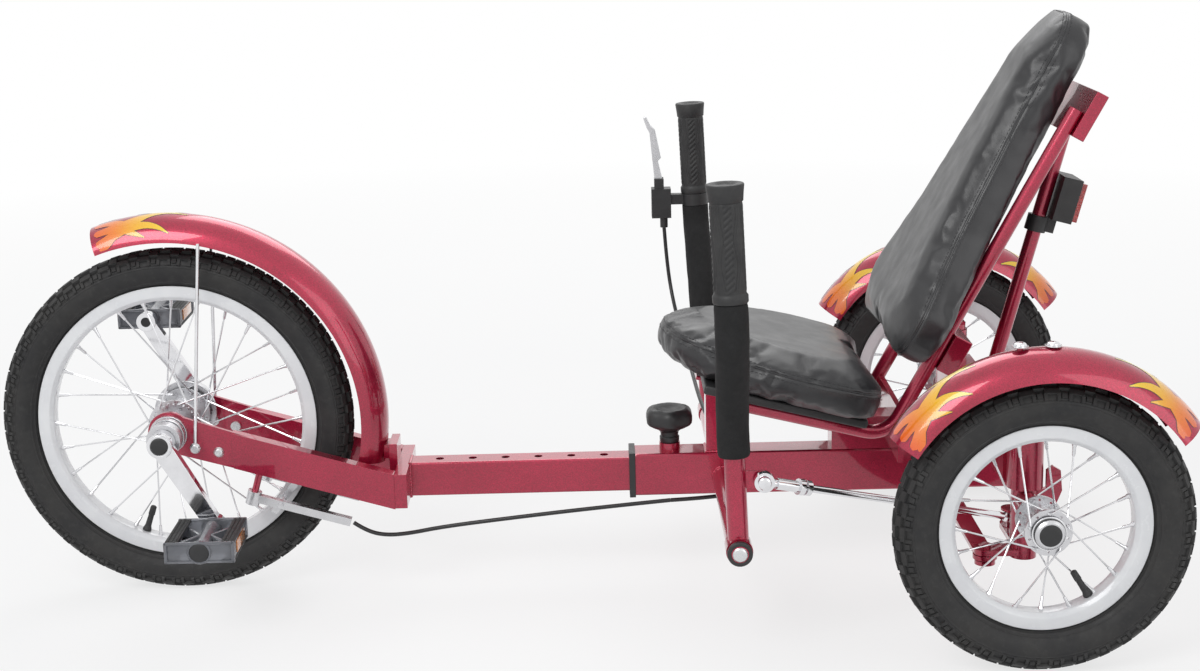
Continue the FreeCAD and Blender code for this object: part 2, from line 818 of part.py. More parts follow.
def fork_arm(label, side):
    owner = body(label + "_fork_plate")
    plate = sketch(owner, "XZ_Plane", -side * (DROPOUT_IN + S.dropout_thick / 2))
    front_top = FORK_FRONT_TOP - FORK_TAN * 20.0
    front_low = FORK_FRONT_BOTTOM - FORK_TAN * 20.0
    axle = S.front_tyre_radius
    outline(plate, [(0.0, axle + S.dropout_radius - 1.0), (S.fork_front + 20.0, front_top),
                    (S.fork_front + 20.0, front_low), (0.0, axle - S.dropout_radius + 1.0)])
    pad(owner, plate, S.dropout_thick, symmetric=True)
    lug = sketch(owner, "XZ_Plane", -side * (DROPOUT_IN + S.dropout_thick / 2))
    circle(lug, (0.0, axle), S.dropout_radius)
    pad(owner, lug, S.dropout_thick, symmetric=True)
    beam = sketch(owner, "XZ_Plane", -side * S.fork_arm_offset)
    outline(beam, [(S.fork_front, FORK_FRONT_BOTTOM), (S.fork_rear, BOOM_TOP - S.fork_depth),
                   (S.fork_rear, BOOM_TOP), (S.fork_front, FORK_FRONT_TOP)])
    pad(owner, beam, S.fork_arm_width, symmetric=True)
    cup_hole = sketch(owner, "XZ_Plane")
    circle(cup_hole, (0.0, axle), S.cup_neck_radius)
    pocket(owner, cup_hole, DROPOUT_OUT * 4, symmetric=True)
    for distance in (S.dropout_screw_near, S.dropout_screw_far):
        screw_hole = sketch(owner, "XZ_Plane")
        circle(screw_hole, (distance, dropout_screw_height(distance)), S.screw_radius)
        pocket(owner, screw_hole, DROPOUT_OUT * 4, symmetric=True)
    place(owner, FRONT_AXLE_X, 0.0, 0.0)
    foot = along(brake_pivot(side), FORK_DOWN, 7.0)
    post = doc.addObject("Part::Cylinder", label + "_brake_post")
    bind(post, "Radius", S.brake_post_radius)
    bind(post, "Height", S.brake_drop + 9.0)
    place(post, *foot, axis=(0, 1, 0), angle=S.fork_slope)
    return node(fuse(label + "_fork_arm", [owner, post]), label + "_fork_arm")


def dropout_screw_height(distance):
    """Screws lie on a line that falls from the axle towards the arm."""
    return S.front_tyre_radius - 8.0 - FORK_TAN * distance


for label, side in SIDES:
    fork_arm(label, side)

# Crown between the fork arms and the boom, with the fender's rest plate

arm_inner = S.fork_arm_offset - S.fork_arm_width / 2
crown_bar = box("crown_bar", (at(S.fork_rear), -(arm_inner + S.fork_arm_width), BOOM_BOTTOM),
                (S.crown_length, (arm_inner + S.fork_arm_width) * 2, S.boom_height))
rest_height = S.front_tyre_radius - 30.0
rest_plate = box("rest_plate", (at(S.front_fender_crest + 0.5), -22.0, BOOM_BOTTOM + 4.0),
                 (S.fork_rear + 1.0 - S.front_fender_crest - 0.5, 44.0,
                  rest_height - BOOM_BOTTOM - 4.0))
node(fuse("fork_crown", [crown_bar, rest_plate]), "fork_crown")


# Fenders

def fender(name, place_at, edge, crest, lead, sweep):
    """A strip with a round section, turned part of the way round an axle."""
    owner = body(name)
    section = sketch(owner, "YZ_Plane")
    half, sheet_wall = S.fender_half_width, S.fender_sheet
    rise, inner_half = crest - edge, half - sheet_wall
    inner_rise = rise - sheet_wall
    outer_radius = (half * half + rise * rise) / (rise * 2)
    inner_radius = (inner_half * inner_half + inner_rise * inner_rise) / (inner_rise * 2)
    outline(section, [(-half, edge), (half, edge), (inner_half, edge), (-inner_half, edge)],
            {0: -outer_radius, 2: inner_radius})
    revolve(owner, section, angle=sweep)
    place(owner, *place_at, axis=(0, -1, 0), angle=lead)
    return owner


front_sheet = fender("front_sheet", FRONT_AXLE, S.front_fender_edge, S.front_fender_crest,
                     S.front_fender_lead, S.front_fender_sweep)
spacer = box("fender_spacer", (at(S.front_fender_crest - 6.0), -14.0, rest_height - 19.0),
             (6.5, 28.0, 16.0))
node(fuse("fender_with_spacer", [front_sheet, spacer]), "front_fender")

# Fender stays, from a dropout screw up to the fender's edge

stays = []
for label, side in SIDES:
    ring_start, ring_length = span(side, DROPOUT_OUT, DROPOUT_OUT + 6.5)
    foot = (FRONT_AXLE_X + S.dropout_screw_near, side * (DROPOUT_OUT + 4.5),
            dropout_screw_height(S.dropout_screw_near))
    ring = Part.makeCylinder(float(S.screw_radius) + 2.6, 6.5,
                             Vec(float(foot[0]), float(ring_start), float(foot[2])), Vec(0, 1, 0))
    hole = Part.makeCylinder(float(S.screw_radius), 9.0,
                             Vec(float(foot[0]), float(ring_start) - 1.0, float(foot[2])),
                             Vec(0, 1, 0))
    top_x = float(S.dropout_screw_near) + 14.0
    top_radius = float(S.front_fender_edge) + 3.0
    top = (float(FRONT_AXLE_X) + top_x, side * float(S.fender_half_width + S.stay_radius),
           float(S.front_tyre_radius) + math.sqrt(top_radius ** 2 - top_x ** 2))
    start = (foot[0], foot[1], foot[2] + S.screw_radius + 1.5)
    wire = strut_between("stay", start, top, S.stay_radius)
    stays.append(ring.cut(hole).fuse(wire))
node(shape_feature("fender_stays", Part.makeCompound(stays)), "fender_stays")


# Screws of the dropouts and the bolts of the front fender

def dome_screw(name, side, x, z, grip_in, grip_out, head_radius):
    """A screw along Y with a domed head outside and a nut inside."""
    start, length = span(side, grip_in - 4.0, grip_out)
    shank = rod(name + "_shank", (x, start, z), "Y", S.screw_radius, length)
    head_start = span(side, grip_out, grip_out + 3.5)[0]
    if side > 0:
        head = cone(name + "_head", (x, head_start, z), "Y", head_radius, head_radius * 0.6, 3.5)
    else:
        head = cone(name + "_head", (x, head_start, z), "Y", head_radius * 0.6, head_radius, 3.5)
    nut_start, nut_length = span(side, grip_in - 4.0, grip_in)
    nut = rod(name + "_nut", (x, nut_start, z), "Y", S.screw_radius + 2.5, nut_length)
    return fuse(name, [shank, head, nut])


screws = []
for label, side in SIDES:
    for number, distance in enumerate((S.dropout_screw_near, S.dropout_screw_far)):
        outside = DROPOUT_OUT + (6.5 if number == 0 else 0.0)
        screws.append(dome_screw("%s_screw_%d" % (label, number), side, FRONT_AXLE_X + distance,
                                 dropout_screw_height(distance), DROPOUT_IN, outside, 6.5))
node(fuse("dropout_screws", screws), "dropout_screws")

# Main tube with its collar and lock knob

PIN_X = S.lock_position - S.outer_tube_front
main = square_tube("main_tube", S.outer_tube_front, S.outer_tube_rear,
                   S.outer_tube_width, S.outer_tube_height, S.outer_tube_wall)
inner_width = S.outer_tube_width - S.outer_tube_wall * 2
inner_height = S.outer_tube_height - S.outer_tube_wall * 2
end_plate = sketch(main, "YZ_Plane", S.outer_tube_rear - S.outer_tube_front - 3.0)
rectangle(end_plate, -inner_width / 2, -inner_height / 2, inner_width, inner_height)
pad(main, end_plate, 3.0)
boss = sketch(main, "XY_Plane", S.outer_tube_height / 2)
circle(boss, (PIN_X, 0.0), S.boss_radius)
pad(main, boss, S.boss_height)
pin_hole = sketch(main, "XY_Plane", S.outer_tube_height / 2 + S.boss_height + 1.0)
circle(pin_hole, (PIN_X, 0.0), S.pin_radius + 1.0)
pocket(main, pin_hole, S.boss_height + S.outer_tube_wall + 2.0)
node(main, "main_tube")

opening_width = S.boom_width + S.slide_gap * 2
opening_height = S.boom_height + S.slide_gap * 2
collar = body("slide_collar")
for offset, length, width, height in (
        (0.0, S.collar_lip, S.outer_tube_width + 3.0, S.outer_tube_height + 3.0),
        (S.collar_lip, S.collar_depth, inner_width, inner_height)):
    ring_face = sketch(collar, "YZ_Plane", offset)
    rectangle(ring_face, -width / 2, -height / 2, width, height)
    rectangle(ring_face, -opening_width / 2, -opening_height / 2, opening_width, opening_height)
    pad(collar, ring_face, length)
collar_hole = sketch(collar, "XY_Plane", inner_height / 2 + 1.0)
circle(collar_hole, (PIN_X + S.collar_lip, 0.0), S.pin_radius + 2.0)
pocket(collar, collar_hole, 5.0)
place(collar, at(S.outer_tube_front - S.collar_lip), 0.0, S.tube_axis_height)
node(collar, "slide_collar")

knob = body("lock_knob")
knob_profile = sketch(knob, "XZ_Plane")
stem_start = TUBE_TOP + S.boss_height + S.knob_lift - BOOM_TOP - 0.6
head_start = stem_start + 12.0
head_end = head_start + S.knob_height
outline(knob_profile, [(0.0, 0.0), (S.pin_radius, 0.0), (S.pin_radius, stem_start),
                       (10.0, stem_start), (10.0, head_start),
                       (S.knob_radius - 7.0, head_start), (S.knob_radius, head_start + 8.0),
                       (S.knob_radius, head_end - 7.0), (S.knob_radius - 6.0, head_end),
                       (S.knob_radius - 12.0, head_end - 4.0), (0.0, head_end - 6.0)])
revolve(knob, knob_profile, axis="V_Axis")
place(knob, at(S.lock_position), 0.0, BOOM_TOP + 0.6)
node(knob, "lock_knob")

# Rear axle beam with a head tube at each end

half_beam = S.beam_length / 2
beam_parts = [box("beam", (REAR_AXLE_X - half_beam, -(S.king_offset - 15.0), S.head_tube_bottom),
                  (S.beam_length, (S.king_offset - 15.0) * 2, S.beam_height)),
              box("riser", (REAR_AXLE_X - 18.0, -18.0, TUBE_TOP),
                  (36.0, 36.0, S.head_tube_bottom - TUBE_TOP))]
beam_bores = []
for label, side in SIDES:
    foot = (REAR_AXLE_X, S.king_offset * side, S.head_tube_bottom)
    beam_parts.append(rod(label + "_head_tube", foot, "Z", S.head_tube_radius,
                          S.head_tube_top - S.head_tube_bottom))
    beam_bores.append(rod(label + "_head_bore", (foot[0], foot[1], S.head_tube_bottom - 1.0), "Z",
                          S.kingpin_radius + S.running_gap,
                          S.head_tube_top - S.head_tube_bottom + 2.0))
node(cut("rear_axle", fuse("beam_stock", beam_parts), fuse("king_bores", beam_bores)),
     "rear_axle_beam")


# Knuckles: kingpin, stub axle, steering arm, tie arm and the fender's strap

TIE_ARM_BOTTOM = S.king_foot_bottom + 4.0
STEER_ARM_TOP = S.rod_ring_height - S.rod_ring_thick / 2 - 3.5
STRAP_TOP = S.rear_tyre_radius + S.rear_fender_crest - 7.1
STRAP_X = REAR_AXLE_X - 12.0


def slab(name, start, reach, width, thick):
    """A flat arm along X or Y with round ends, as three primitives."""
    x, y, z = start
    dx, dy = reach
    if float(dy) == 0:
        sides = (S.tie_arm_reach, width, thick)
        corner = (x - S.tie_arm_reach, y - width / 2, z)
    else:
        sides = (width, S.steer_arm_reach, thick)
        corner = (x - width / 2, y if float(dy) > 0 else y - S.steer_arm_reach, z)
    end = (x + dx, y + dy, z)
    return [box(name + "_bar", corner, sides),
            rod(name + "_root", start, "Z", width / 2, thick),
            rod(name + "_end", end, "Z", width / 2, thick)]


def knuckle(label, side):
    y = S.king_offset * side
    x = REAR_AXLE_X
    axle = S.rear_tyre_radius
    parts = [rod(label + "_foot", (x, y, S.king_foot_bottom), "Z", S.king_foot_radius,
                 S.head_tube_bottom - 0.3 - S.king_foot_bottom),
             rod(label + "_kingpin", (x, y, S.head_tube_bottom - 1.0), "Z", S.kingpin_radius,
                 S.head_tube_top + 9.0 - S.head_tube_bottom),
             rod(label + "_king_nut", (x, y, S.head_tube_top + 0.3), "Z",
                 S.head_tube_radius - 2.0, 7.7)]
    hub_end = S.wheel_half_track - S.hub_inner_reach - 0.5
    stub_end = S.wheel_half_track + S.rear_flange_offset + S.flange_thick / 2 + 2.5 + 3.0
    start, length = span(side, S.king_offset, hub_end)
    parts.append(rod(label + "_shoulder", (x, start, axle), "Y", S.king_shoulder_radius, length))
    start, length = span(side, S.king_offset, stub_end)
    parts.append(rod(label + "_stub", (x, start, axle), "Y", S.stub_radius, length))
    inboard = -side
    parts += slab(label + "_steer_arm", (x, y, STEER_ARM_TOP - S.tie_arm_thick),
                  (0.0, S.steer_arm_reach * inboard), S.king_arm_width, S.tie_arm_thick)
    parts += slab(label + "_tie_arm", (x, y, TIE_ARM_BOTTOM), (-S.tie_arm_reach, 0),
                  S.king_arm_width, S.tie_arm_thick)
    stud_at = (x, y + S.steer_arm_reach * inboard, STEER_ARM_TOP - 1.0)
    parts.append(rod(label + "_rod_stud", stud_at, "Z", S.stud_radius, S.rod_ring_thick + 12.0))
    cap_at = (stud_at[0], stud_at[1], STEER_ARM_TOP + S.rod_ring_thick + 9.5)
    parts.append(rod(label + "_rod_stud_cap", cap_at, "Z", S.stud_radius + S.ball_gap + 3.0, 2.5))
    tie_at = (x - S.tie_arm_reach, y, TIE_ARM_BOTTOM - S.tie_bar_thick - 6.5)
    parts.append(rod(label + "_tie_stud", tie_at, "Z", S.stud_radius, S.tie_bar_thick + 7.5))
    parts.append(rod(label + "_tie_nut", tie_at, "Z", S.stud_radius + S.ball_gap + 3.0, 4.5))
    parts.append(rod(label + "_tie_dome", (tie_at[0], y, TIE_ARM_BOTTOM + S.tie_arm_thick), "Z",
                     6.5, 4.0))
    parts.append(ear(label, side))
    parts.append(strap(label, side))
    for number, shift in enumerate((-0.5, 0.5)):
        bolt_x = STRAP_X + S.fender_bolt_pitch * shift
        bolt_y = S.wheel_half_track * side
        parts.append(rod("%s_fender_bolt_%d" % (label, number),
                         (bolt_x, bolt_y, STRAP_TOP - 1.0), "Z", 3.0, 10.0))
        parts.append(cone("%s_fender_bolt_head_%d" % (label, number),
                          (bolt_x, bolt_y, STRAP_TOP + 8.0), "Z", 6.5, 3.5, 3.5))
    return node(fuse(label + "_knuckle", parts), label + "_knuckle")


def ear(label, side):
    """The upright lug that stands behind the kingpin's foot."""
    owner = body(label + "_ear")
    face = sketch(owner, "XZ_Plane")
    low = S.rear_tyre_radius - 7.5
    outline(face, [(6.0, low), (33.0, low), (39.0, low + 15.0), (37.0, low + 37.0),
                   (29.0, low + 42.0), (22.5, low + 37.0), (22.5, low + 18.0),
                   (6.0, low + 15.0)])
    pad(owner, face, 6.0, symmetric=True)
    return place(owner, REAR_AXLE_X, S.king_offset * side, 0.0)


def strap(label, side):
    """Folded sheet from the kingpin's nut up to the underside of the fender."""
    owner = body(label + "_strap")
    face = sketch(owner, "YZ_Plane")
    base = S.head_tube_top + 8.0
    thick = S.strap_thick
    shelf = STRAP_TOP - 32.0
    king = S.king_offset
    wheel = S.wheel_half_track
    path = [(king - 17.0, base), (king + 39.0, base), (king + 39.0, shelf),
            (wheel - 19.0, shelf), (wheel - 11.5, STRAP_TOP - thick),
            (wheel + 13.0, STRAP_TOP - thick), (wheel + 13.0, STRAP_TOP),
            (wheel - 14.5, STRAP_TOP), (wheel - 22.0, shelf + thick),
            (king + 35.0, shelf + thick), (king + 35.0, base + thick),
            (king - 17.0, base + thick)]
    outline(face, [(y * side, z) for y, z in path])
    pad(owner, face, S.strap_width + S.fender_bolt_pitch / 3, symmetric=True)
    return place(owner, STRAP_X, 0.0, 0.0)


for label, side in SIDES:
    knuckle(label, side)
    arch = fender(label + "_arch", (REAR_AXLE_X, S.wheel_half_track * side, S.rear_tyre_radius),
                  S.rear_fender_edge, S.rear_fender_crest, S.rear_fender_lead,
                  S.rear_fender_sweep)
    drills = []
    for number, shift in enumerate((-0.5, 0.5)):
        drills.append(rod("%s_arch_drill_%d" % (label, number),
                          (STRAP_X + S.fender_bolt_pitch * shift, S.wheel_half_track * side,
                           STRAP_TOP), "Z", 3.2, 15.0))
    node(cut(label + "_fender", arch, fuse(label + "_arch_drills", drills)), label + "_fender")

# Tie rod under the tie arms: snug on the left stud, loose on the right one

tie_x = REAR_AXLE_X - S.tie_arm_reach
tie_z = TIE_ARM_BOTTOM - S.tie_bar_thick - 0.5
tie_parts = [box("tie_bar", (tie_x - S.tie_bar_width / 2, -S.king_offset, tie_z),
                 (S.tie_bar_width, S.king_offset * 2, S.tie_bar_thick))]
tie_holes = []
for label, side in SIDES:
    loose = S.running_gap if side < 0 else S.ball_gap
    tie_parts.append(rod(label + "_tie_eye", (tie_x, S.king_offset * side, tie_z), "Z",
                         S.stud_radius + S.ball_gap + 5.0, S.tie_bar_thick))
    tie_holes.append(rod(label + "_tie_hole", (tie_x, S.king_offset * side, tie_z - 1.0), "Z",
                         S.stud_radius + loose, S.tie_bar_thick + 2.0))
node(cut("tie_link", fuse("tie_stock", tie_parts), fuse("tie_holes", tie_holes)), "tie_rod")


# Steering levers

PIVOT_X = at(S.lever_pivot_x)
EYE_X = at(S.rod_eye_x)
EYE_Y = S.lever_offset + S.rod_eye_out
KNEE = S.lever_bend_radius * tangent(S.lever_splay_angle / 2)
KNEE_HIGH = S.lever_knee_low + S.lever_splay / tangent(S.lever_splay_angle)


def lever_spine(owner, side, start, end):
    """The lever's middle line between two heights on its straight ends."""
    line = sketch(owner, "YZ_Plane")
    out, up = sine(S.lever_splay_angle), cosine(S.lever_splay_angle)
    points = [(0.0, start), (0.0, S.lever_knee_low - KNEE),
              (KNEE * out, S.lever_knee_low + KNEE * up),
              (S.lever_splay - KNEE * out, KNEE_HIGH - KNEE * up),
              (S.lever_splay, KNEE_HIGH + KNEE), (S.lever_splay, end)]
    bend = S.lever_bend_radius * -side
    outline(line, [(y * side, z) for y, z in points], {1: bend, 3: -bend}, closed=False)
    return line


def lever_sleeve(name, side, start, end, radius, bore=None):
    """A round bar or hose that follows the bends of the lever."""
    owner = body(name)
    ring = sketch(owner, "XY_Plane", start)
    circle(ring, (0.0, 0.0), radius)
    if bore is not None:
        circle(ring, (0.0, 0.0), bore)
    pipe(owner, ring, lever_spine(owner, side, start, end))
    return place(owner, PIVOT_X, S.lever_offset * side, S.lever_pivot_height,
                 axis=(0, -1, 0), angle=S.lever_lean)


def lever(label, side):
    y = S.lever_offset * side
    bar = lever_sleeve(label + "_lever_bar", side, S.bush_radius - 4.0, S.lever_top - 4.0,
                       S.lever_tube_radius)
    start, length = span(side, S.lever_offset - S.bush_length / 2,
                         S.lever_offset + S.bush_length / 2)
    bush = rod(label + "_bush", (PIVOT_X, start, S.lever_pivot_height), "Y",
               S.bush_radius, length)
    tab = box(label + "_tab", (PIVOT_X, y - S.tab_thick / 2, S.rod_eye_height - 9.0),
              (EYE_X - PIVOT_X, S.tab_thick, 18.0))
    tab_end = rod(label + "_tab_end", (EYE_X, y - S.tab_thick / 2, S.rod_eye_height), "Y",
                  9.0, S.tab_thick)
    eye_in = EYE_Y - S.rod_eye_thick / 2
    eye_out = EYE_Y + S.rod_eye_thick / 2
    start, length = span(side, S.lever_offset, eye_out + 0.5)
    bolt = rod(label + "_rod_bolt", (EYE_X, start, S.rod_eye_height), "Y",
               S.rod_bolt_radius, length)
    start, length = span(side, S.lever_offset, eye_in - 0.4)
    washer = rod(label + "_rod_washer", (EYE_X, start, S.rod_eye_height), "Y", 6.0, length)
    start, length = span(side, eye_out + 0.4, eye_out + 3.4)
    head = rod(label + "_rod_bolt_head", (EYE_X, start, S.rod_eye_height), "Y", 6.0, length)
    stock = fuse(label + "_lever_stock", [bar, bush, tab, tab_end, bolt, washer, head])
    start, length = span(side, S.cross_tube_end, S.lever_offset + S.bush_length)
    bore = rod(label + "_lever_bore", (PIVOT_X, start, S.lever_pivot_height), "Y",
               S.stub_radius + S.running_gap, length)
    return node(cut(label + "_lever", stock, bore), label + "_lever")


def grip(label, side):
    owner = body(label + "_grip")
    profile = sketch(owner, "XZ_Plane")
    bore = S.lever_tube_radius + 0.2
    start, top = S.grip_start, S.lever_top
    outline(profile, [(bore, start), (S.grip_radius + 1.5, start),
                      (S.grip_radius + 1.5, start + 8.0), (S.grip_radius, start + 10.0),
                      (S.grip_radius, top - 19.0), (S.grip_radius + 1.0, top - 17.0),
                      (S.grip_rim_radius, top), (S.grip_rim_radius - 4.0, top),
                      (S.grip_rim_radius - 8.0, top - 3.0), (0.0, top - 3.0),
                      (0.0, top - 3.8), (bore, top - 3.8)])
    revolve(owner, profile, axis="V_Axis")
    place(owner, PIVOT_X, (S.lever_offset + S.lever_splay) * side, S.lever_pivot_height,
          axis=(0, -1, 0), angle=S.lever_lean)
    return node(owner, label + "_grip")


for label, side in SIDES:
    lever(label, side)
    foam_end = S.grip_start - 0.5 if side < 0 else S.clamp_start - 0.5
    foam = lever_sleeve(label + "_foam", side, S.foam_start, foam_end, S.foam_radius,
                        S.lever_tube_radius + 0.2)
    node(foam, label + "_foam")
    grip(label, side)

cross_parts = []
for label, side in SIDES:
    for number, (near, far, radius) in enumerate((
            (S.outer_tube_width / 2, S.cross_tube_end, S.cross_tube_radius),
            (S.cross_tube_end, S.lever_offset + S.bush_length / 2 + 2.0, S.stub_radius),
            (S.lever_offset + S.bush_length / 2 + 1.0,
             S.lever_offset + S.bush_length / 2 + 8.0, S.stub_radius + 4.0))):
        start, length = span(side, near, far)
        cross_parts.append(rod("%s_cross_%d" % (label, number),
                               (PIVOT_X, start, S.lever_pivot_height), "Y", radius, length))
node(fuse("lever_cross_tubes", cross_parts), "lever_cross_tubes")


# Steering rods: an eye on the lever's bolt and a loose ring round the stud

def steering_rod(label, side):
    eye = Vec(float(EYE_X), side * float(EYE_Y), float(S.rod_eye_height))
    ring = Vec(float(REAR_AXLE_X), side * float(S.king_offset - S.steer_arm_reach),
               float(S.rod_ring_height))
    line = ring - eye
    line.normalize()
    ring_radius = S.stud_radius + S.ball_gap + 3.5
    pieces = [(9.0, (ring - eye).Length - float(ring_radius) + 1.0, S.rod_radius),
              (14.0, 40.0, S.rod_radius + 2.0),
              (40.0, 46.0, S.rod_radius + 4.5),
              (48.5, 54.5, S.rod_radius + 4.0)]
    bars = [shape_feature("%s_rod_piece_%d" % (label, number),
                          strut_between(label, eye + line * near, eye + line * far, radius))
            for number, (near, far, radius) in enumerate(pieces)]
    half = S.rod_eye_thick / 2
    start, length = span(side, EYE_Y - half, EYE_Y + half)
    bars.append(rod(label + "_eye", (EYE_X, start, S.rod_eye_height), "Y",
                    S.rod_eye_radius, length))
    low = S.rod_ring_height - S.rod_ring_thick / 2
    bars.append(rod(label + "_ring", (REAR_AXLE_X, ring.y, low), "Z", ring_radius,
                    S.rod_ring_thick))
    start, length = span(side, EYE_Y - half - 1.0, EYE_Y + half + 1.0)
    eye_bore = rod(label + "_eye_bore", (EYE_X, start, S.rod_eye_height), "Y",
                   S.rod_bolt_radius + S.running_gap, length)
    ring_bore = rod(label + "_ring_bore", (REAR_AXLE_X, ring.y, low - 1.0), "Z",
                    S.stud_radius + S.ball_gap, S.rod_ring_thick + 2.0)
    bores = fuse(label + "_rod_bores", [eye_bore, ring_bore])
    node(cut(label + "_rod", fuse(label + "_rod_stock", bars), bores),
         label + "_steering_rod")


for label, side in SIDES:
    steering_rod(label, side)

# Seat frame: points are given along the rails, up from them and across

SEAT_ALONG = (cosine(S.rail_slope), 0.0, -sine(S.rail_slope))
SEAT_UP = (sine(S.rail_slope), 0.0, cosine(S.rail_slope))
BACK_ALONG = (sine(S.rail_back_angle), 0.0, cosine(S.rail_back_angle))
BACK_OUT = (-cosine(S.rail_back_angle), 0.0, sine(S.rail_back_angle))
BACK_TURN = 90.0 - S.rail_back_angle
RAIL_START = (at(S.rail_start_x), 0.0, S.rail_start_height)


def seat_point(distance, y, height):
    x, _, z = along(along(RAIL_START, SEAT_ALONG, distance), SEAT_UP, height)
    return (x, y, z)


RAIL_TURN = 90.0 - S.rail_back_angle + S.rail_slope
bend_centre = seat_point(S.rail_flat, 0.0, S.rail_bend_radius)
RAIL_ELBOW = along(bend_centre, BACK_OUT, -S.rail_bend_radius)


def back_point(distance, y, depth):
    """A point along the upright rails; depth counts towards the rider."""
    x, _, z = along(along(RAIL_ELBOW, BACK_ALONG, distance), BACK_OUT, depth)
    return (x, y, z)


for label, side in SIDES:
    rail = body(label + "_seat_rail")
    ring = sketch(rail, "YZ_Plane")
    circle(ring, (0.0, 0.0), S.rail_radius)
    line = sketch(rail, "XZ_Plane")
    bend_end = (S.rail_flat + S.rail_bend_radius * sine(RAIL_TURN),
                S.rail_bend_radius - S.rail_bend_radius * cosine(RAIL_TURN))
    outline(line, [(0.0, 0.0), (S.rail_flat, 0.0), bend_end,
                   (bend_end[0] + S.rail_rise * cosine(RAIL_TURN),
                    bend_end[1] + S.rail_rise * sine(RAIL_TURN))],
            {1: S.rail_bend_radius}, closed=False)
    pipe(rail, ring, line)
    place(rail, RAIL_START[0], S.rail_offset * side, RAIL_START[2],
          axis=(0, 1, 0), angle=S.rail_slope)
    node(rail, label + "_seat_rail")

pan = box("seat_pan", seat_point(-45.0, -S.pan_width / 2, S.rail_radius),
          (S.pan_length, S.pan_width, S.pan_thick), axis=(0, 1, 0), angle=S.rail_slope)
node(pan, "seat_pan")

post_body = body("seat_post_tube")
post_face = sketch(post_body, "XZ_Plane")
post_top = [S.rail_start_height - tangent(S.rail_slope) * (x - S.rail_start_x) + 4.5
            for x in (S.post_x, S.post_x + S.post_width)]
outline(post_face, [(S.post_x, TUBE_TOP), (S.post_x + S.post_width, TUBE_TOP),
                    (S.post_x + S.post_width, post_top[1]), (S.post_x, post_top[0])])
pad(post_body, post_face, S.post_width, symmetric=True)
place(post_body, FRONT_AXLE_X, 0.0, 0.0)
post_head = box("seat_post_head", seat_point(-48.0, -30.0, 3.0), (60.0, 60.0, 5.0),
                axis=(0, 1, 0), angle=S.rail_slope)
node(fuse("seat_post_stock", [post_body, post_head]), "seat_post")

rail_inside = S.rail_offset - S.rail_radius
bracket_at = seat_point(125.0, -rail_inside, 0.0)
bracket = [box("bracket_saddle", (at(750.0), -19.0, TUBE_TOP), (68.0, 38.0, 38.0)),
           rod("bracket_cross_tube", bracket_at, "Y", S.rail_radius, rail_inside * 2),
           box("bracket_plate", (at(817.5), -(rail_inside - 0.3), TUBE_TOP),
               (6.0, (rail_inside - 0.3) * 2, 61.0))]
node(fuse("bracket_stock", bracket), "seat_bracket")

crossbar = box("rail_crossbar", back_point(66.0, -(S.rail_offset + S.rail_radius), -30.0),
               (44.0, (S.rail_offset + S.rail_radius) * 2, 22.0),
               axis=(0, -1, 0), angle=BACK_TURN)
node(crossbar, "rail_crossbar")

# Back strut from the beam up to the plate behind the rails

beam_top = S.head_tube_bottom + S.beam_height
strut_foot = (REAR_AXLE_X, 0.0, beam_top + 3.0)
strut_top = back_point(S.plate_start + S.strut_inset, 0.0,
                       -(S.rail_radius + S.plate_depth + 1.0))
STRUT_LEAN = slope_of(strut_top[0] - strut_foot[0], strut_top[2] - strut_foot[2])
strut_bar = shape_feature("strut_bar", strut_between("strut", strut_foot, strut_top,
                                                     S.strut_radius))
strut_base = box("strut_base", (REAR_AXLE_X - 18.0, -18.0, beam_top), (36.0, 36.0, 4.0))
plate_half = S.rail_offset + S.rail_radius + 2.0
top_plate = box("top_plate", back_point(S.plate_start, -plate_half,
                                        -(S.rail_radius + S.plate_depth)),
                (S.plate_height, plate_half * 2, S.plate_depth), axis=(0, -1, 0),
                angle=BACK_TURN)
node(fuse("back_strut_stock", [strut_bar, strut_base, top_plate]), "back_strut")


# Reflector on the strut, in a frame that leans with it

def strut_point(height, out, y, up):
    """A point beside the strut: out is rearward, up is along the strut."""
    rise = (height - strut_foot[2]) / (strut_top[2] - strut_foot[2])
    x = strut_foot[0] + (strut_top[0] - strut_foot[0]) * rise
    lean_out = (cosine(STRUT_LEAN), 0.0, -sine(STRUT_LEAN))
    lean_up = (sine(STRUT_LEAN), 0.0, cosine(STRUT_LEAN))
    px, _, pz = along(along((x, 0.0, height), lean_out, out), lean_up, up)
    return (px, y, pz)


REFLECTOR_Z = beam_top + 235.0
half_reflector = S.reflector_height / 2
clamp_ring = doc.addObject("Part::Cylinder", "reflector_clamp_ring")
bind(clamp_ring, "Radius", S.strut_radius + 4.0)
bind(clamp_ring, "Height", 18.0)
place(clamp_ring, *strut_point(REFLECTOR_Z, 0.0, 0.0, -44.0), axis=(0, 1, 0), angle=STRUT_LEAN)
clamp_arm = box("reflector_arm", strut_point(REFLECTOR_Z, S.strut_radius + 2.0, -6.0, -42.0),
                (10.0, 12.0, 24.0), axis=(0, 1, 0), angle=STRUT_LEAN)
housing = box("reflector_housing", strut_point(REFLECTOR_Z, S.strut_radius + 1.0,
                                               -S.reflector_width / 2, -half_reflector),
              (S.reflector_depth, S.reflector_width, S.reflector_height),
              axis=(0, 1, 0), angle=STRUT_LEAN)
clamp_bore = doc.addObject("Part::Cylinder", "reflector_clamp_bore")
bind(clamp_bore, "Radius", S.strut_radius + 0.1)
bind(clamp_bore, "Height", 100.0)
place(clamp_bore, *strut_point(REFLECTOR_Z, 0.0, 0.0, -50.0), axis=(0, 1, 0), angle=STRUT_LEAN)
reflector_stock = fuse("reflector_stock", [clamp_ring, clamp_arm, housing])
node(cut("reflector", reflector_stock, clamp_bore), "reflector_mount")
lens_out = S.strut_radius + 1.0 + S.reflector_depth
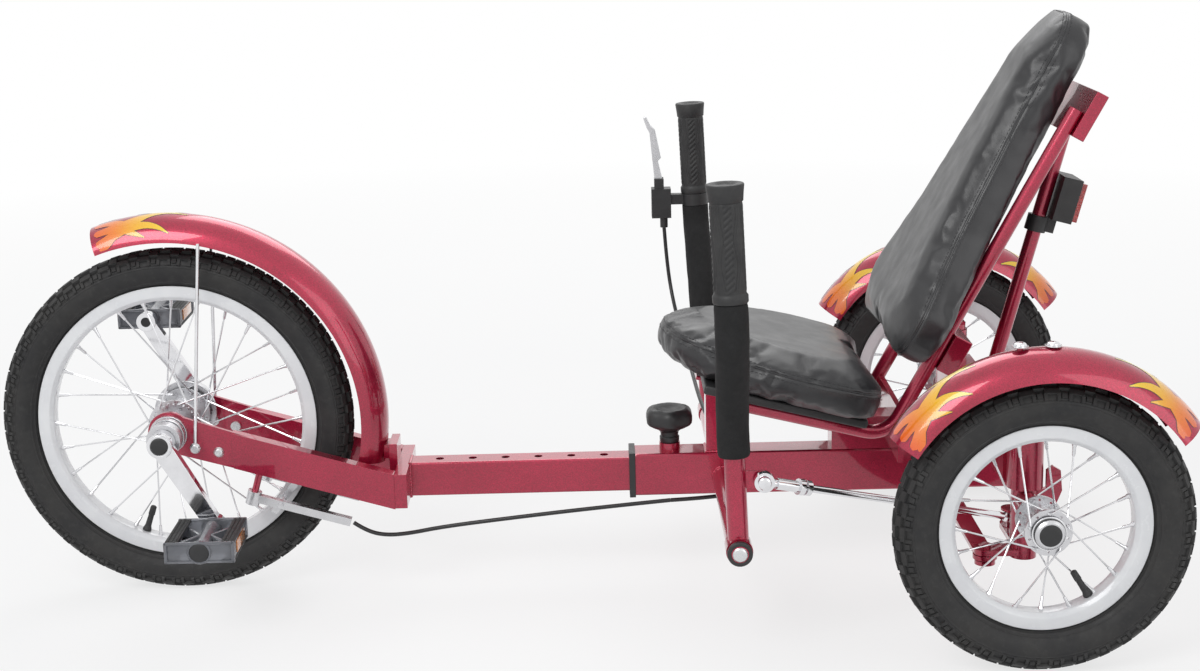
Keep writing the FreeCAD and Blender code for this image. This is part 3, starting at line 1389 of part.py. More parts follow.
lens = box("lens", strut_point(REFLECTOR_Z, lens_out, 3.0 - S.reflector_width / 2,
                               3.0 - half_reflector),
           (S.lens_depth, S.reflector_width - 6.0, S.reflector_height - 6.0),
           axis=(0, 1, 0), angle=STRUT_LEAN)
node(lens, "reflector_lens")


# Cushions: crowned lofts whose sections are insets of one outline

def seat_outline(item, inset, corner):
    """Rounded nose, sides that widen to the rear and round rear corners."""
    length, half = S.seat_length, S.seat_half_width
    nose = [(35.0 + 0.727 * inset, 0.586 * half - 0.686 * inset), (165.0, half - inset)]
    rear = length - inset
    right = nose + [(rear - corner, half - inset), (rear, half - inset - corner)]
    left = [(x, -y) for x, y in reversed(right)]
    outline(item, right + left,
            {0: -(201.0 - inset), 2: -corner, 4: -corner, 6: -(201.0 - inset),
             7: -(0.855 * half - inset)})


def back_outline(item, inset, corner):
    """Wide at the bottom, tapering in two slopes to a narrow round top."""
    length, half = S.back_length, S.back_half_width
    top_half = S.back_top_half_width - 6.0
    low, high = inset, length - inset
    right = [(low, half - inset - corner), (low + corner, half - inset),
             (60.0, half - inset), (160.0, 0.75 * half - inset),
             (length - 60.0, top_half - inset * 0.9),
             (high, top_half - 58.0 + (45.0 - inset) * 0.25)]
    left = [(x, -y) for x, y in reversed(right)]
    outline(item, right + left, {0: -corner, 4: -62.0, 6: -62.0, 10: -corner})


def cushion(name, draw, thick, crown, corner):
    """Stack the sections from the base plate up to the crown."""
    owner = body(name)
    levels = [(0.0, 5.0), (6.0, 1.0), (thick * 0.5, 0.0), (thick - 4.0, 1.0),
              (thick + crown * 0.25, 7.0), (thick + crown * 0.65, 20.0),
              (thick + crown, 45.0)]
    sections = []
    for height, inset in levels:
        section = sketch(owner, "XY_Plane", height)
        draw(section, inset, corner - inset * 0.6)
        sections.append(section)
    loft = owner.newObject("PartDesign::AdditiveLoft", name + "_loft")
    loft.Profile = sections[0]
    loft.Sections = [(item, [""]) for item in sections[1:]]
    loft.Ruled = True
    return owner


seat = cushion("seat_cushion", seat_outline, S.seat_thick, S.seat_crown, 40.0)
seat_at = seat_point(-S.seat_nose, 0.0, S.rail_radius + S.pan_thick + S.cushion_gap)
place(seat, *seat_at, axis=(0, 1, 0), angle=S.rail_slope)
node(seat, "seat_cushion")
back = cushion("back_cushion", back_outline, S.back_thick, S.back_crown, 45.0)
place(back, *back_point(S.back_start, 0.0, S.rail_radius + S.cushion_gap),
      axis=(0, -1, 0), angle=BACK_TURN)
node(back, "back_cushion")


# Rim brake: two arms that swing on the fork's posts

def brake_arm(label, side):
    pivot = brake_pivot(side)
    half = S.brake_arm_width / 2
    y_in, y_out = S.brake_arm_offset - half, S.brake_arm_offset + half
    start, thick = span(side, y_in, y_out)
    low = along(pivot, FORK_DOWN, 8.0)
    boss_item = doc.addObject("Part::Cylinder", label + "_brake_boss")
    bind(boss_item, "Radius", S.brake_post_radius + 4.0)
    bind(boss_item, "Height", 16.0)
    place(boss_item, *low, axis=(0, 1, 0), angle=S.fork_slope)
    corner = along(pivot, FORK_DOWN, half)
    bar = box(label + "_brake_bar", (corner[0], start, corner[2]),
              (S.brake_arm_length, thick, S.brake_arm_width), axis=(0, 1, 0), angle=S.fork_slope)
    px, pz = pivot[0] - FRONT_AXLE_X, pivot[2] - S.front_tyre_radius
    track = S.front_rim_radius - S.pad_drop
    nearest = px * FORK_BACK[0] + pz * FORK_BACK[2]
    reach = square_root(nearest * nearest + track * track - px * px - pz * pz) - nearest
    stud_at = along(pivot, FORK_BACK, reach)
    pad_in = S.rim_width / 2 + S.pad_gap
    start, length = span(side, pad_in + 5.0, y_out + 4.0)
    stud = rod(label + "_pad_stud", (stud_at[0], start, stud_at[2]), "Y", 3.0, length)
    start, length = span(side, pad_in, pad_in + 9.0)
    tilt = slope_of(stud_at[0] - FRONT_AXLE_X, S.front_tyre_radius - stud_at[2])
    tangent_way = (cosine(tilt), 0.0, sine(tilt))
    outward = (-sine(tilt), 0.0, cosine(tilt))
    corner = along(along(stud_at, tangent_way, -S.pad_length / 2), outward, -S.pad_height / 2)
    shoe = box(label + "_brake_pad", (corner[0], start, corner[2]),
               (S.pad_length, length, S.pad_height), axis=(0, -1, 0), angle=tilt)
    stock = fuse(label + "_brake_stock", [boss_item, bar, stud, shoe])
    bore = doc.addObject("Part::Cylinder", label + "_brake_bore")
    bind(bore, "Radius", S.brake_post_radius + S.running_gap)
    bind(bore, "Height", 20.0)
    place(bore, *along(pivot, FORK_DOWN, 10.0), axis=(0, 1, 0), angle=S.fork_slope)
    return node(cut(label + "_brake", stock, bore), label + "_brake_arm")


for label, side in SIDES:
    brake_arm(label, side)

# Brake lever on the right steering lever

LEVER_UP = (-sine(S.lever_lean), 0.0, cosine(S.lever_lean))
GRIP_Y = S.lever_offset + S.lever_splay
clamp_at = along((PIVOT_X, GRIP_Y, S.lever_pivot_height), LEVER_UP, S.clamp_start)
lever_clamp = doc.addObject("Part::Cylinder", "lever_clamp")
bind(lever_clamp, "Radius", S.grip_radius + 1.0)
bind(lever_clamp, "Height", S.clamp_length)
place(lever_clamp, *clamp_at, axis=(0, -1, 0), angle=S.lever_lean)
lever_clamp_bore = doc.addObject("Part::Cylinder", "lever_clamp_bore")
bind(lever_clamp_bore, "Radius", S.lever_tube_radius + 0.1)
bind(lever_clamp_bore, "Height", S.clamp_length + 40.0)
clamp_low = along((PIVOT_X, GRIP_Y, S.lever_pivot_height), LEVER_UP, S.clamp_start - 20.0)
place(lever_clamp_bore, *clamp_low, axis=(0, -1, 0), angle=S.lever_lean)
blade_x = clamp_at[0] - S.blade_reach
housing_low = clamp_at[2] - S.housing_drop
housing_top = housing_low + S.housing_height
blade_z = housing_top + S.blade_pivot_rise
mount = [lever_clamp,
         box("lever_neck", (blade_x + 12.0, GRIP_Y - 7.0, clamp_at[2] + 0.7),
             (S.blade_reach - 22.5, 14.0, S.clamp_length - 2.0)),
         box("lever_housing", (blade_x - 10.0, GRIP_Y - 11.0, housing_low),
             (25.0, 22.0, S.housing_height)),
         rod("cable_adjuster", (blade_x + 5.6, GRIP_Y - 3.0, housing_low - 13.0), "Z", 5.0, 14.0),
         rod("blade_pin", (blade_x, GRIP_Y - 9.0, blade_z), "Y", 2.5, 18.0)]
for number, edge in enumerate((-9.0, 5.8)):
    mount.append(box("blade_ear_%d" % number, (blade_x - 6.0, GRIP_Y + edge, housing_top - 1.0),
                     (12.0, 3.2, S.blade_pivot_rise + 6.0)))
node(cut("lever_mount", fuse("lever_mount_stock", mount), lever_clamp_bore), "brake_mount")

blade = body("brake_blade")
blade_face = sketch(blade, "XZ_Plane")
outline(blade_face, [(-5.0, -4.0), (3.0, -5.0), (5.0, 2.0), (-1.0, 28.0), (3.0, 32.0),
                     (-4.0, 68.0), (-10.0, 74.0), (-15.0, S.blade_length - 7.0),
                     (-19.0, S.blade_length - 8.0), (-15.0, 72.0), (-11.0, 64.0),
                     (-8.0, 32.0), (-7.0, 20.0)])
pad(blade, blade_face, 10.0, symmetric=True)
blade_bore = sketch(blade, "XZ_Plane")
circle(blade_bore, (0.0, 0.0), 2.5 + S.running_gap)
pocket(blade, blade_bore, 20.0, symmetric=True)
place(blade, blade_x, GRIP_Y, blade_z)
node(blade, "brake_blade")


# Brake cable: hand-chosen points from the lever to the rim brake

def cord(name, points, radius):
    """A round cord through points measured from the front axle."""
    spots = [Vec(float(FRONT_AXLE_X) + x, y, z) for x, y, z in points]
    curve = Part.BSplineCurve()
    curve.interpolate(spots)
    spine = Part.Wire([curve.toShape()])
    tangent_at = curve.tangent(curve.FirstParameter)[0]
    ring = Part.Wire([Part.makeCircle(float(radius), spots[0], tangent_at)])
    return spine.makePipeShell([ring], True, False)


REAR_CABLE = [(573.6, 332.0, 351.7), (576.0, 331.0, 310.0), (582.0, 325.0, 262.0),
              (592.0, 270.0, 222.0), (600.0, 180.0, 196.0), (606.0, 90.0, 180.0),
              (618.0, 38.0, 160.0), (640.0, 28.0, 141.0), (664.0, 26.5, 120.0),
              (670.0, 24.5, 101.0), (655.0, 8.0, 94.5), (612.0, -14.0, 95.0),
              (564.0, -20.0, 95.0)]
FRONT_CABLE = [(563.6, -20.0, 95.0), (482.0, -22.0, 89.0), (380.0, -22.0, 79.0),
               (300.0, -21.0, 70.0), (258.0, -26.0, 64.0), (232.0, -37.0, 67.0),
               (213.0, -44.5, 76.0), (200.2, -46.0, 86.0)]
node(shape_feature("rear_cable", cord("rear_cable", REAR_CABLE, S.cable_radius)),
     "brake_cable_rear")
node(shape_feature("front_cable", cord("front_cable", FRONT_CABLE, S.cable_radius)),
     "brake_cable_front")

# Recompute, check and export

doc.recompute()
problems = []
for item in doc.Objects:
    if "Invalid" in item.State or "Error" in item.State:
        problems.append("%s is in state %s" % (item.Name, item.State))
names = [item.Label for item in NODES]
if len(names) != len(set(names)):
    problems.append("two sub-parts share a name")
for item in NODES:
    if item.Shape.isNull() or not item.Shape.isValid():
        problems.append("%s has no valid shape" % item.Label)
if problems:
    raise RuntimeError("\n".join(problems))
os.makedirs("parts", exist_ok=True)
for item in NODES:
    item.Shape.exportStep("parts/%s.step" % item.Label)
    print("%-22s %9.0f mm3  %d solid(s)" % (item.Label, item.Shape.Volume,
                                            len(item.Shape.Solids)))
print("%d sub-parts" % len(NODES))
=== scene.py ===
import bmesh
import bpy
import json
import math
from mathutils import Matrix, Vector, noise

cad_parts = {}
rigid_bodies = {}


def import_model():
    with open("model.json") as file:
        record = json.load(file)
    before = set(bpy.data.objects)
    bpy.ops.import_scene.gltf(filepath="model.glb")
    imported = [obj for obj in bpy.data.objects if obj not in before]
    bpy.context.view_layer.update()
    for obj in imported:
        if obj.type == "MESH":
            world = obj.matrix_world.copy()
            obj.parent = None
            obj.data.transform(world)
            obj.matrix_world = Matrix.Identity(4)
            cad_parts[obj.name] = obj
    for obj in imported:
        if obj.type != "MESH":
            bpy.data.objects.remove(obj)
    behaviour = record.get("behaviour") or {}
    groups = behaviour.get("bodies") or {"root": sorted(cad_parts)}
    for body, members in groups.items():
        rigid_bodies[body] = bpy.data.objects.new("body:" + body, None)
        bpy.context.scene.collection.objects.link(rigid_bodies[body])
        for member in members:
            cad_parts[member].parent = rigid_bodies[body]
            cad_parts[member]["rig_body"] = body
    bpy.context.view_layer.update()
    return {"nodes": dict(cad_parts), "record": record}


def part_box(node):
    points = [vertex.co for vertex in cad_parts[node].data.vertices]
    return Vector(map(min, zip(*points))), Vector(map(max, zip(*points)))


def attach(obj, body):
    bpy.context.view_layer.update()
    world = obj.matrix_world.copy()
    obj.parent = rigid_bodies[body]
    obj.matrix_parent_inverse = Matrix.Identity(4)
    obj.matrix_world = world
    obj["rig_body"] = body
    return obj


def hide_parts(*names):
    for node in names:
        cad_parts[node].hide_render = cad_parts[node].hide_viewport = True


# Low rider tricycle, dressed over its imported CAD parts. Metres, +Z up.
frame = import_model()
NODES = frame["nodes"]

FRONT_AXLE = Vector((-0.44025, 0.0, 0.201))
REAR_X, REAR_Z, HALF_TRACK = 0.48875, 0.1525, 0.305
SIDES = (("left", -1.0), ("right", 1.0))


# Node trees

def add_node(tree, kind, **values):
    node = tree.nodes.new(kind)
    for name, value in values.items():
        if hasattr(node, name):
            setattr(node, name, value)
        else:
            node.inputs[name.replace("_", " ")].default_value = value
    return node


def noise_at(tree, place, scale, detail=3.0, roughness=0.55):
    node = add_node(tree, "ShaderNodeTexNoise")
    node.inputs["Scale"].default_value = scale
    node.inputs["Detail"].default_value = detail
    node.inputs["Roughness"].default_value = roughness
    tree.links.new(place, node.inputs["Vector"])
    return node.outputs["Fac"]


def cells_at(tree, place, scale, output="Distance", feature="F1"):
    node = add_node(tree, "ShaderNodeTexVoronoi", feature=feature)
    node.inputs["Scale"].default_value = scale
    tree.links.new(place, node.inputs["Vector"])
    return node.outputs[output]


def remap(tree, value, low, high, start=0.3, end=0.7):
    node = add_node(tree, "ShaderNodeMapRange")
    node.inputs["From Min"].default_value = start
    node.inputs["From Max"].default_value = end
    node.inputs["To Min"].default_value = low
    node.inputs["To Max"].default_value = high
    tree.links.new(value, node.inputs["Value"])
    return node.outputs["Result"]


def math_at(tree, operation, first, second=None):
    node = add_node(tree, "ShaderNodeMath", operation=operation)
    for number, value in enumerate((first, second)):
        if value is None:
            continue
        if isinstance(value, (int, float)):
            node.inputs[number].default_value = value
        else:
            tree.links.new(value, node.inputs[number])
    return node.outputs[0]


def mix_colours(tree, factor, first, second, blend="MIX"):
    node = add_node(tree, "ShaderNodeMix", data_type="RGBA", blend_type=blend)
    for name, value in ((0, factor), (6, first), (7, second)):
        if isinstance(value, (tuple, list)):
            node.inputs[name].default_value = (*value, 1.0)
        elif isinstance(value, (int, float)):
            node.inputs[name].default_value = value
        else:
            tree.links.new(value, node.inputs[name])
    return node.outputs[2]


def bump_of(tree, height, strength, distance, under=None):
    node = add_node(tree, "ShaderNodeBump")
    node.inputs["Strength"].default_value = strength
    node.inputs["Distance"].default_value = distance
    tree.links.new(height, node.inputs["Height"])
    if under is not None:
        tree.links.new(under, node.inputs["Normal"])
    return node.outputs["Normal"]


def finish(name, colour, shade, rough, spread, drift=25.0, grain=900.0, grain_depth=0.00008,
           grain_strength=0.35, metallic=0.0, coat=0.0, coat_rough=0.05, specular=0.5, **extra):
    """A surface whose colour and gloss drift slowly over a fine grain."""
    material = bpy.data.materials.new(name)
    material.use_nodes = True
    tree = material.node_tree
    shader = tree.nodes["Principled BSDF"]
    place = add_node(tree, "ShaderNodeTexCoord").outputs["Object"]
    slow = noise_at(tree, place, drift)
    fine = noise_at(tree, place, grain, 2.0)
    tint = mix_colours(tree, remap(tree, slow, 0.0, 1.0), colour, shade)
    tree.links.new(tint, shader.inputs["Base Color"])
    gloss = remap(tree, noise_at(tree, place, drift * 3.1, 4.0), rough - spread, rough + spread)
    tree.links.new(gloss, shader.inputs["Roughness"])
    normal = bump_of(tree, fine, grain_strength, grain_depth)
    tree.links.new(normal, shader.inputs["Normal"])
    shader.inputs["Metallic"].default_value = metallic
    shader.inputs["Specular IOR Level"].default_value = specular
    shader.inputs["Coat Weight"].default_value = coat
    shader.inputs["Coat Roughness"].default_value = coat_rough
    for key, value in extra.items():
        shader.inputs[key.replace("_", " ")].default_value = value
    return material, tree, shader, place, tint


def paint_finish():
    """Deep red metallic paint: flakes under a clear coat with slight orange peel."""
    material, tree, shader, place, tint = finish(
        "red_metallic_paint", (0.43, 0.012, 0.052), (0.34, 0.006, 0.036), 0.30, 0.04, drift=9.0,
        grain=260.0, grain_depth=0.00002, grain_strength=0.25, metallic=0.55, coat=1.0,
        coat_rough=0.04)
    flakes = cells_at(tree, place, 1500.0, output="Color")
    bright = add_node(tree, "ShaderNodeSeparateColor")
    tree.links.new(flakes, bright.inputs[0])
    spark = remap(tree, bright.outputs[0], 0.72, 1.32, 0.0, 1.0)
    lit = add_node(tree, "ShaderNodeVectorMath", operation="SCALE")
    tree.links.new(tint, lit.inputs[0])
    tree.links.new(spark, lit.inputs["Scale"])
    tree.links.new(lit.outputs[0], shader.inputs["Base Color"])
    return material


def vinyl_finish():
    """Black leather cloth: pebbled grain, soft creases and a broad sheen."""
    material, tree, shader, place, tint = finish(
        "black_vinyl", (0.016, 0.016, 0.018), (0.024, 0.024, 0.026), 0.36, 0.05, drift=14.0,
        grain=1400.0, grain_depth=0.00006, grain_strength=0.25, specular=0.55,
        Sheen_Weight=0.06, Sheen_Roughness=0.4)
    pebbles = cells_at(tree, place, 620.0, feature="SMOOTH_F1")
    pores = noise_at(tree, place, 2300.0, 2.0)
    grain = math_at(tree, "ADD", pebbles, math_at(tree, "MULTIPLY", pores, 0.35))
    normal = bump_of(tree, grain, 0.30, 0.00014)
    creases = noise_at(tree, place, 46.0, 3.0, 0.5)
    normal = bump_of(tree, creases, 0.16, 0.0012, normal)
    tree.links.new(normal, shader.inputs["Normal"])
    return material


def tyre_finish():
    material, tree, shader, place, tint = finish(
        "tyre_rubber", (0.017, 0.017, 0.018), (0.030, 0.029, 0.028), 0.62, 0.08, drift=30.0,
        grain=1100.0, grain_depth=0.00012, grain_strength=0.35, specular=0.42)
    bloom = noise_at(tree, place, 140.0, 5.0, 0.7)
    dusty = mix_colours(tree, remap(tree, bloom, 0.0, 0.35, 0.52, 0.78), tint, (0.07, 0.068, 0.065))
    tree.links.new(dusty, shader.inputs["Base Color"])
    return material


def foam_finish():
    material, tree, shader, place, tint = finish(
        "black_foam", (0.020, 0.020, 0.021), (0.036, 0.036, 0.037), 0.86, 0.05, drift=40.0,
        grain=2600.0, grain_depth=0.00025, grain_strength=0.6, specular=0.3)
    # painted shade: the pore hollows are painted darker than the foam's own colour
    pores = cells_at(tree, place, 1500.0)
    dark = mix_colours(tree, remap(tree, pores, 0.0, 0.6, 0.15, 0.6), (0.010, 0.010, 0.010), tint)
    tree.links.new(dark, shader.inputs["Base Color"])
    return material


def chrome_finish(name, colour, rough, grain_strength=0.08):
    shade = tuple(c * 0.90 for c in colour)
    return finish(name, colour, shade, rough, rough * 0.35, drift=60.0, grain=420.0,
                  grain_depth=0.00003, grain_strength=grain_strength, metallic=1.0)[0]


def lens_finish(name, colour, painted_glint):
    """Clear coloured plastic over small prism cells, with a painted glint: a brighter colour
    painted at the middle of each cell.
    """
    material, tree, shader, place, tint = finish(
        name, colour, tuple(c * 0.7 for c in colour), 0.12, 0.04, drift=80.0, grain=600.0,
        specular=0.6, coat=1.0, Transmission_Weight=0.15)
    prisms = cells_at(tree, place, 420.0, feature="F1")
    normal = bump_of(tree, prisms, 0.7, 0.0008)
    tree.links.new(normal, shader.inputs["Normal"])
    # painted glint: the middles of the prism cells take the brighter colour, in place of light
    # thrown back by the prisms
    spark = mix_colours(tree, remap(tree, prisms, 0.0, 1.0, 0.1, 0.6), painted_glint, colour)
    tree.links.new(spark, shader.inputs["Base Color"])
    return material


def flame_finish(name, axle, first, last):
    """Flame colours that run round a wheel's axle, from the fender's end to the tips."""
    material, tree, shader, place, tint = finish(
        name, (0.95, 0.30, 0.01), (0.90, 0.26, 0.01), 0.28, 0.04, drift=60.0, coat=1.0)
    parts = add_node(tree, "ShaderNodeSeparateXYZ")
    tree.links.new(place, parts.inputs[0])
    ahead = math_at(tree, "SUBTRACT", parts.outputs["X"], axle[0])
    above = math_at(tree, "SUBTRACT", parts.outputs["Z"], axle[2])
    angle = math_at(tree, "ARCTAN2", above, ahead)
    ramp = add_node(tree, "ShaderNodeValToRGB")
    stops = ((0.0, (0.86, 0.10, 0.01)), (0.28, (0.93, 0.24, 0.01)), (0.55, (0.97, 0.50, 0.01)),
             (1.0, (0.98, 0.78, 0.03)))
    while len(ramp.color_ramp.elements) < len(stops):
        ramp.color_ramp.elements.new(0.5)
    for element, (position, colour) in zip(ramp.color_ramp.elements, stops):
        element.position = position
        element.color = (*colour, 1.0)
    wave = math_at(tree, "MULTIPLY", noise_at(tree, place, 55.0), 0.08)
    along = remap(tree, angle, 0.0, 1.0, math.radians(first), math.radians(last))
    tree.links.new(math_at(tree, "ADD", along, wave), ramp.inputs[0])
    tree.links.new(ramp.outputs[0], shader.inputs["Base Color"])
    return material


PAINT = paint_finish()
VINYL = vinyl_finish()
TYRE = tyre_finish()
FOAM = foam_finish()
WHITE = finish("white_rim_paint", (0.83, 0.84, 0.85), (0.76, 0.77, 0.79), 0.24, 0.05, drift=30.0,
               grain=500.0, grain_depth=0.00003, coat=0.5)[0]
CHROME = chrome_finish("chrome_plate", (0.80, 0.80, 0.82), 0.10)
SPOKE = chrome_finish("spoke_steel", (0.74, 0.74, 0.76), 0.20)
ZINC = chrome_finish("zinc_plate", (0.72, 0.73, 0.74), 0.28, 0.3)
ALLOY = chrome_finish("cast_alloy", (0.66, 0.66, 0.68), 0.32, 0.4)
PLASTIC = finish("black_plastic", (0.018, 0.018, 0.019), (0.028, 0.028, 0.029), 0.45, 0.06,
                 drift=50.0, grain=1300.0, grain_depth=0.0001, grain_strength=0.4)[0]
RUBBER = finish("grip_rubber", (0.016, 0.016, 0.017), (0.030, 0.030, 0.030), 0.56, 0.06,
                drift=60.0, grain=1700.0, grain_depth=0.0001, grain_strength=0.4)[0]
SMOKE = finish("smoke_plastic", (0.34, 0.35, 0.38), (0.27, 0.28, 0.31), 0.16, 0.05, drift=50.0,
               grain=300.0, grain_depth=0.00004, Transmission_Weight=0.55, IOR=1.46)[0]
AMBER = lens_finish("amber_reflector", (0.75, 0.20, 0.01), (0.95, 0.42, 0.04))
RED_LENS = lens_finish("red_reflector", (0.42, 0.008, 0.010), (0.75, 0.04, 0.03))
THREAD = finish("black_thread", (0.035, 0.035, 0.037), (0.055, 0.055, 0.058), 0.55, 0.06,
                drift=200.0, grain=3000.0, grain_depth=0.0001)[0]
CABLE = finish("cable_jacket", (0.014, 0.014, 0.015), (0.022, 0.022, 0.023), 0.34, 0.05,
               drift=90.0, grain=1800.0, grain_depth=0.00005)[0]
DARK_EDGE = finish("flame_outline", (0.10, 0.004, 0.012), (0.07, 0.003, 0.009), 0.3, 0.04,
                   drift=60.0, coat=1.0)[0]

SLOT_FINISH = {
    "red_paint": PAINT, "white_rim": WHITE, "chrome": CHROME, "zinc_steel": ZINC,
    "aluminium": ALLOY, "tyre": TYRE, "black_plastic": PLASTIC, "grey_plastic": SMOKE,
    "foam": FOAM, "vinyl": VINYL, "red_lens": RED_LENS, "cable": CABLE}
NODE_SLOT = {part["node"]: part["material_slot"] for part in frame["record"]["subparts"]}
for name, item in NODES.items():
    item.data.materials.clear()
    item.data.materials.append(SLOT_FINISH[NODE_SLOT[name]])


# Shapes

class Shape:
    """Vertices and faces of one piece, gathered part by part."""

    def __init__(self):
        self.verts = []
        self.faces = []
        self.tags = []

    def add(self, verts, faces, tag=0):
        base = len(self.verts)
        self.verts.extend(Vector(v) for v in verts)
        self.faces.extend([i + base for i in face] for face in faces)
        self.tags.extend([tag] * len(faces))

    def piece(self, name, body, materials, replaces=(), angle=35.0, weld=1e-6):
        mesh = bpy.data.meshes.new(name)
        mesh.from_pydata(self.verts, [], self.faces)
        mesh.polygons.foreach_set("material_index", self.tags)
        for material in materials:
            mesh.materials.append(material)
        made = bmesh.new()
        made.from_mesh(mesh)
        if weld:
            bmesh.ops.remove_doubles(made, verts=made.verts, dist=weld)
        bmesh.ops.recalc_face_normals(made, faces=made.faces)
        made.to_mesh(mesh)
        made.free()
        return show(name, mesh, body, replaces, angle)


def show(name, mesh, body, replaces=(), angle=35.0):
    """Put a mesh in the scene as a piece that rides on a body."""
    mesh.polygons.foreach_set("use_smooth", [True] * len(mesh.polygons))
    mesh.set_sharp_from_angle(angle=math.radians(angle))
    item = bpy.data.objects.new(name, mesh)
    bpy.context.scene.collection.objects.link(item)
    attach(item, body)
    if replaces:
        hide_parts(*replaces)
    return item


def axes_of(direction):
    forward = Vector(direction).normalized()
    helper = Vector((0, 0, 1)) if abs(forward.z) < 0.9 else Vector((1, 0, 0))
    side = forward.cross(helper).normalized()
    return side, side.cross(forward).normalized(), forward


def lathe(shape, profile, centre, axis, steps=64, tag=0, closed=False, lobes=None):
    """Turn points (along the axis, radius) about an axis through the centre."""
    side, up, forward = axes_of(axis)
    centre = Vector(centre)
    verts, faces = [], []
    count = len(profile)
    for step in range(steps):
        angle = 2 * math.pi * step / steps
        spoke = side * math.cos(angle) + up * math.sin(angle)
        for along, radius in profile:
            reach = lobes(angle, along, radius) if lobes else radius
            verts.append(centre + forward * along + spoke * reach)
    for step in range(steps):
        here, there = step * count, ((step + 1) % steps) * count
        for row in range(count if closed else count - 1):
            after = (row + 1) % count
            faces.append([here + row, here + after, there + after, there + row])
    shape.add(verts, faces, tag)


def rounded(points, radius, steps=3, closed=True):
    """Points of an outline with each corner replaced by a short arc."""
    spots = [Vector((a, b)) for a, b in points]
    made = []
    for index, corner in enumerate(spots):
        if not closed and index in (0, len(spots) - 1):
            made.append(tuple(corner))
            continue
        before = spots[index - 1] - corner
        after = spots[(index + 1) % len(spots)] - corner
        reach = min(radius, before.length * 0.45, after.length * 0.45)
        start = corner + before.normalized() * reach
        end = corner + after.normalized() * reach
        for step in range(steps + 1):
            t = step / steps
            made.append(tuple(start * (1 - t) ** 2 + corner * 2 * t * (1 - t) + end * t * t))
    return made


def tube(shape, points, radius, sides=12, tag=0, caps=True):
    """A round bar along points; the radius is one number or one per point."""
    points = [Vector(p) for p in points]
    radii = radius if isinstance(radius, (list, tuple)) else [radius] * len(points)
    side = None
    verts, faces = [], []
    for index, point in enumerate(points):
        before = points[max(index - 1, 0)]
        after = points[min(index + 1, len(points) - 1)]
        forward = (after - before).normalized()
        if side is None:
            side, up, _ = axes_of(forward)
        side = (side - forward * side.dot(forward)).normalized()
        up = side.cross(forward)
        for step in range(sides):
            angle = 2 * math.pi * step / sides
            verts.append(point + (side * math.cos(angle) + up * math.sin(angle)) * radii[index])
    for index in range(len(points) - 1):
        for step in range(sides):
            after = (step + 1) % sides
            faces.append([index * sides + step, index * sides + after,
                          (index + 1) * sides + after, (index + 1) * sides + step])
    if caps:
        faces.append(list(range(sides))[::-1])
        faces.append([(len(points) - 1) * sides + step for step in range(sides)])
    shape.add(verts, faces, tag)


def block(shape, size, place, bevel=0.0, tag=0, steps=2, turn=None):
    """A box about a point, with rounded edges, turned by a matrix."""
    made = bmesh.new()
    bmesh.ops.create_cube(made, size=1.0)
    for vert in made.verts:
        vert.co = Vector((vert.co.x * size[0], vert.co.y * size[1], vert.co.z * size[2]))
    if bevel:
        bmesh.ops.bevel(made, geom=made.edges[:], offset=bevel, offset_type="OFFSET",
                        segments=steps, profile=0.5, affect="EDGES", clamp_overlap=True)
    matrix = Matrix.Translation(Vector(place)) @ (turn.to_4x4() if turn else Matrix())
    made.verts.index_update()
    shape.add([matrix @ v.co for v in made.verts],
              [[v.index for v in f.verts] for f in made.faces], tag)
    made.free()


def smooth_line(points, steps=8):
    """Catmull-Rom points through a short list of points."""
    points = [Vector(p) for p in points]
    padded = [points[0] * 2 - points[1]] + points + [points[-1] * 2 - points[-2]]
    made = []
    for index in range(1, len(padded) - 2):
        a, b, c, d = padded[index - 1:index + 3]
        for step in range(steps):
            t = step / steps
            made.append(0.5 * (b * 2 + (c - a) * t + (a * 2 - b * 5 + c * 4 - d) * t * t
                               + (b * 3 - a - c * 3 + d) * t ** 3))
    made.append(points[-1])
    return made


def dress(node, width, angle=30.0, steps=2, pick=None, wide=None, tests=()):
    """A copy of a rigid CAD part with its corners rounded, in the part's place.

    Each test is a finish and a function of a face's middle that says where it goes."""
    source = NODES[node]
    mesh = source.data.copy()
    made = bmesh.new()
    made.from_mesh(mesh)
    bmesh.ops.remove_doubles(made, verts=made.verts, dist=1e-5)
    bmesh.ops.dissolve_limit(made, angle_limit=math.radians(1.0), verts=made.verts[:],
                             edges=made.edges[:])
    if pick is not None:
        chosen = [e for e in made.edges if len(e.link_faces) == 2
                  and e.calc_face_angle(0.0) > math.radians(angle) and pick(e)]
        bmesh.ops.bevel(made, geom=chosen, offset=wide, offset_type="OFFSET", segments=4,
                        profile=0.5, affect="EDGES", clamp_overlap=True)
    chosen = [e for e in made.edges if len(e.link_faces) == 2
              and e.calc_face_angle(0.0) > math.radians(angle)]
    bmesh.ops.bevel(made, geom=chosen, offset=width, offset_type="OFFSET", segments=steps,
                    profile=0.5, affect="EDGES", clamp_overlap=True)
    for face in made.faces:
        face.material_index = 0
        middle = face.calc_center_median()
        for number, (finish_used, test) in enumerate(tests):
            if test(middle):
                face.material_index = number + 1
    made.to_mesh(mesh)
    made.free()
    mesh.materials.clear()
    mesh.materials.append(SLOT_FINISH[NODE_SLOT[node]])
    for finish_used, test in tests:
        mesh.materials.append(finish_used)
    item = show(node + "_dressed", mesh, source["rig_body"], (node,), 32.0)
    weights = item.modifiers.new("weights", "WEIGHTED_NORMAL")
    weights.keep_sharp = True
    return item


# Camera at the photograph's viewing point

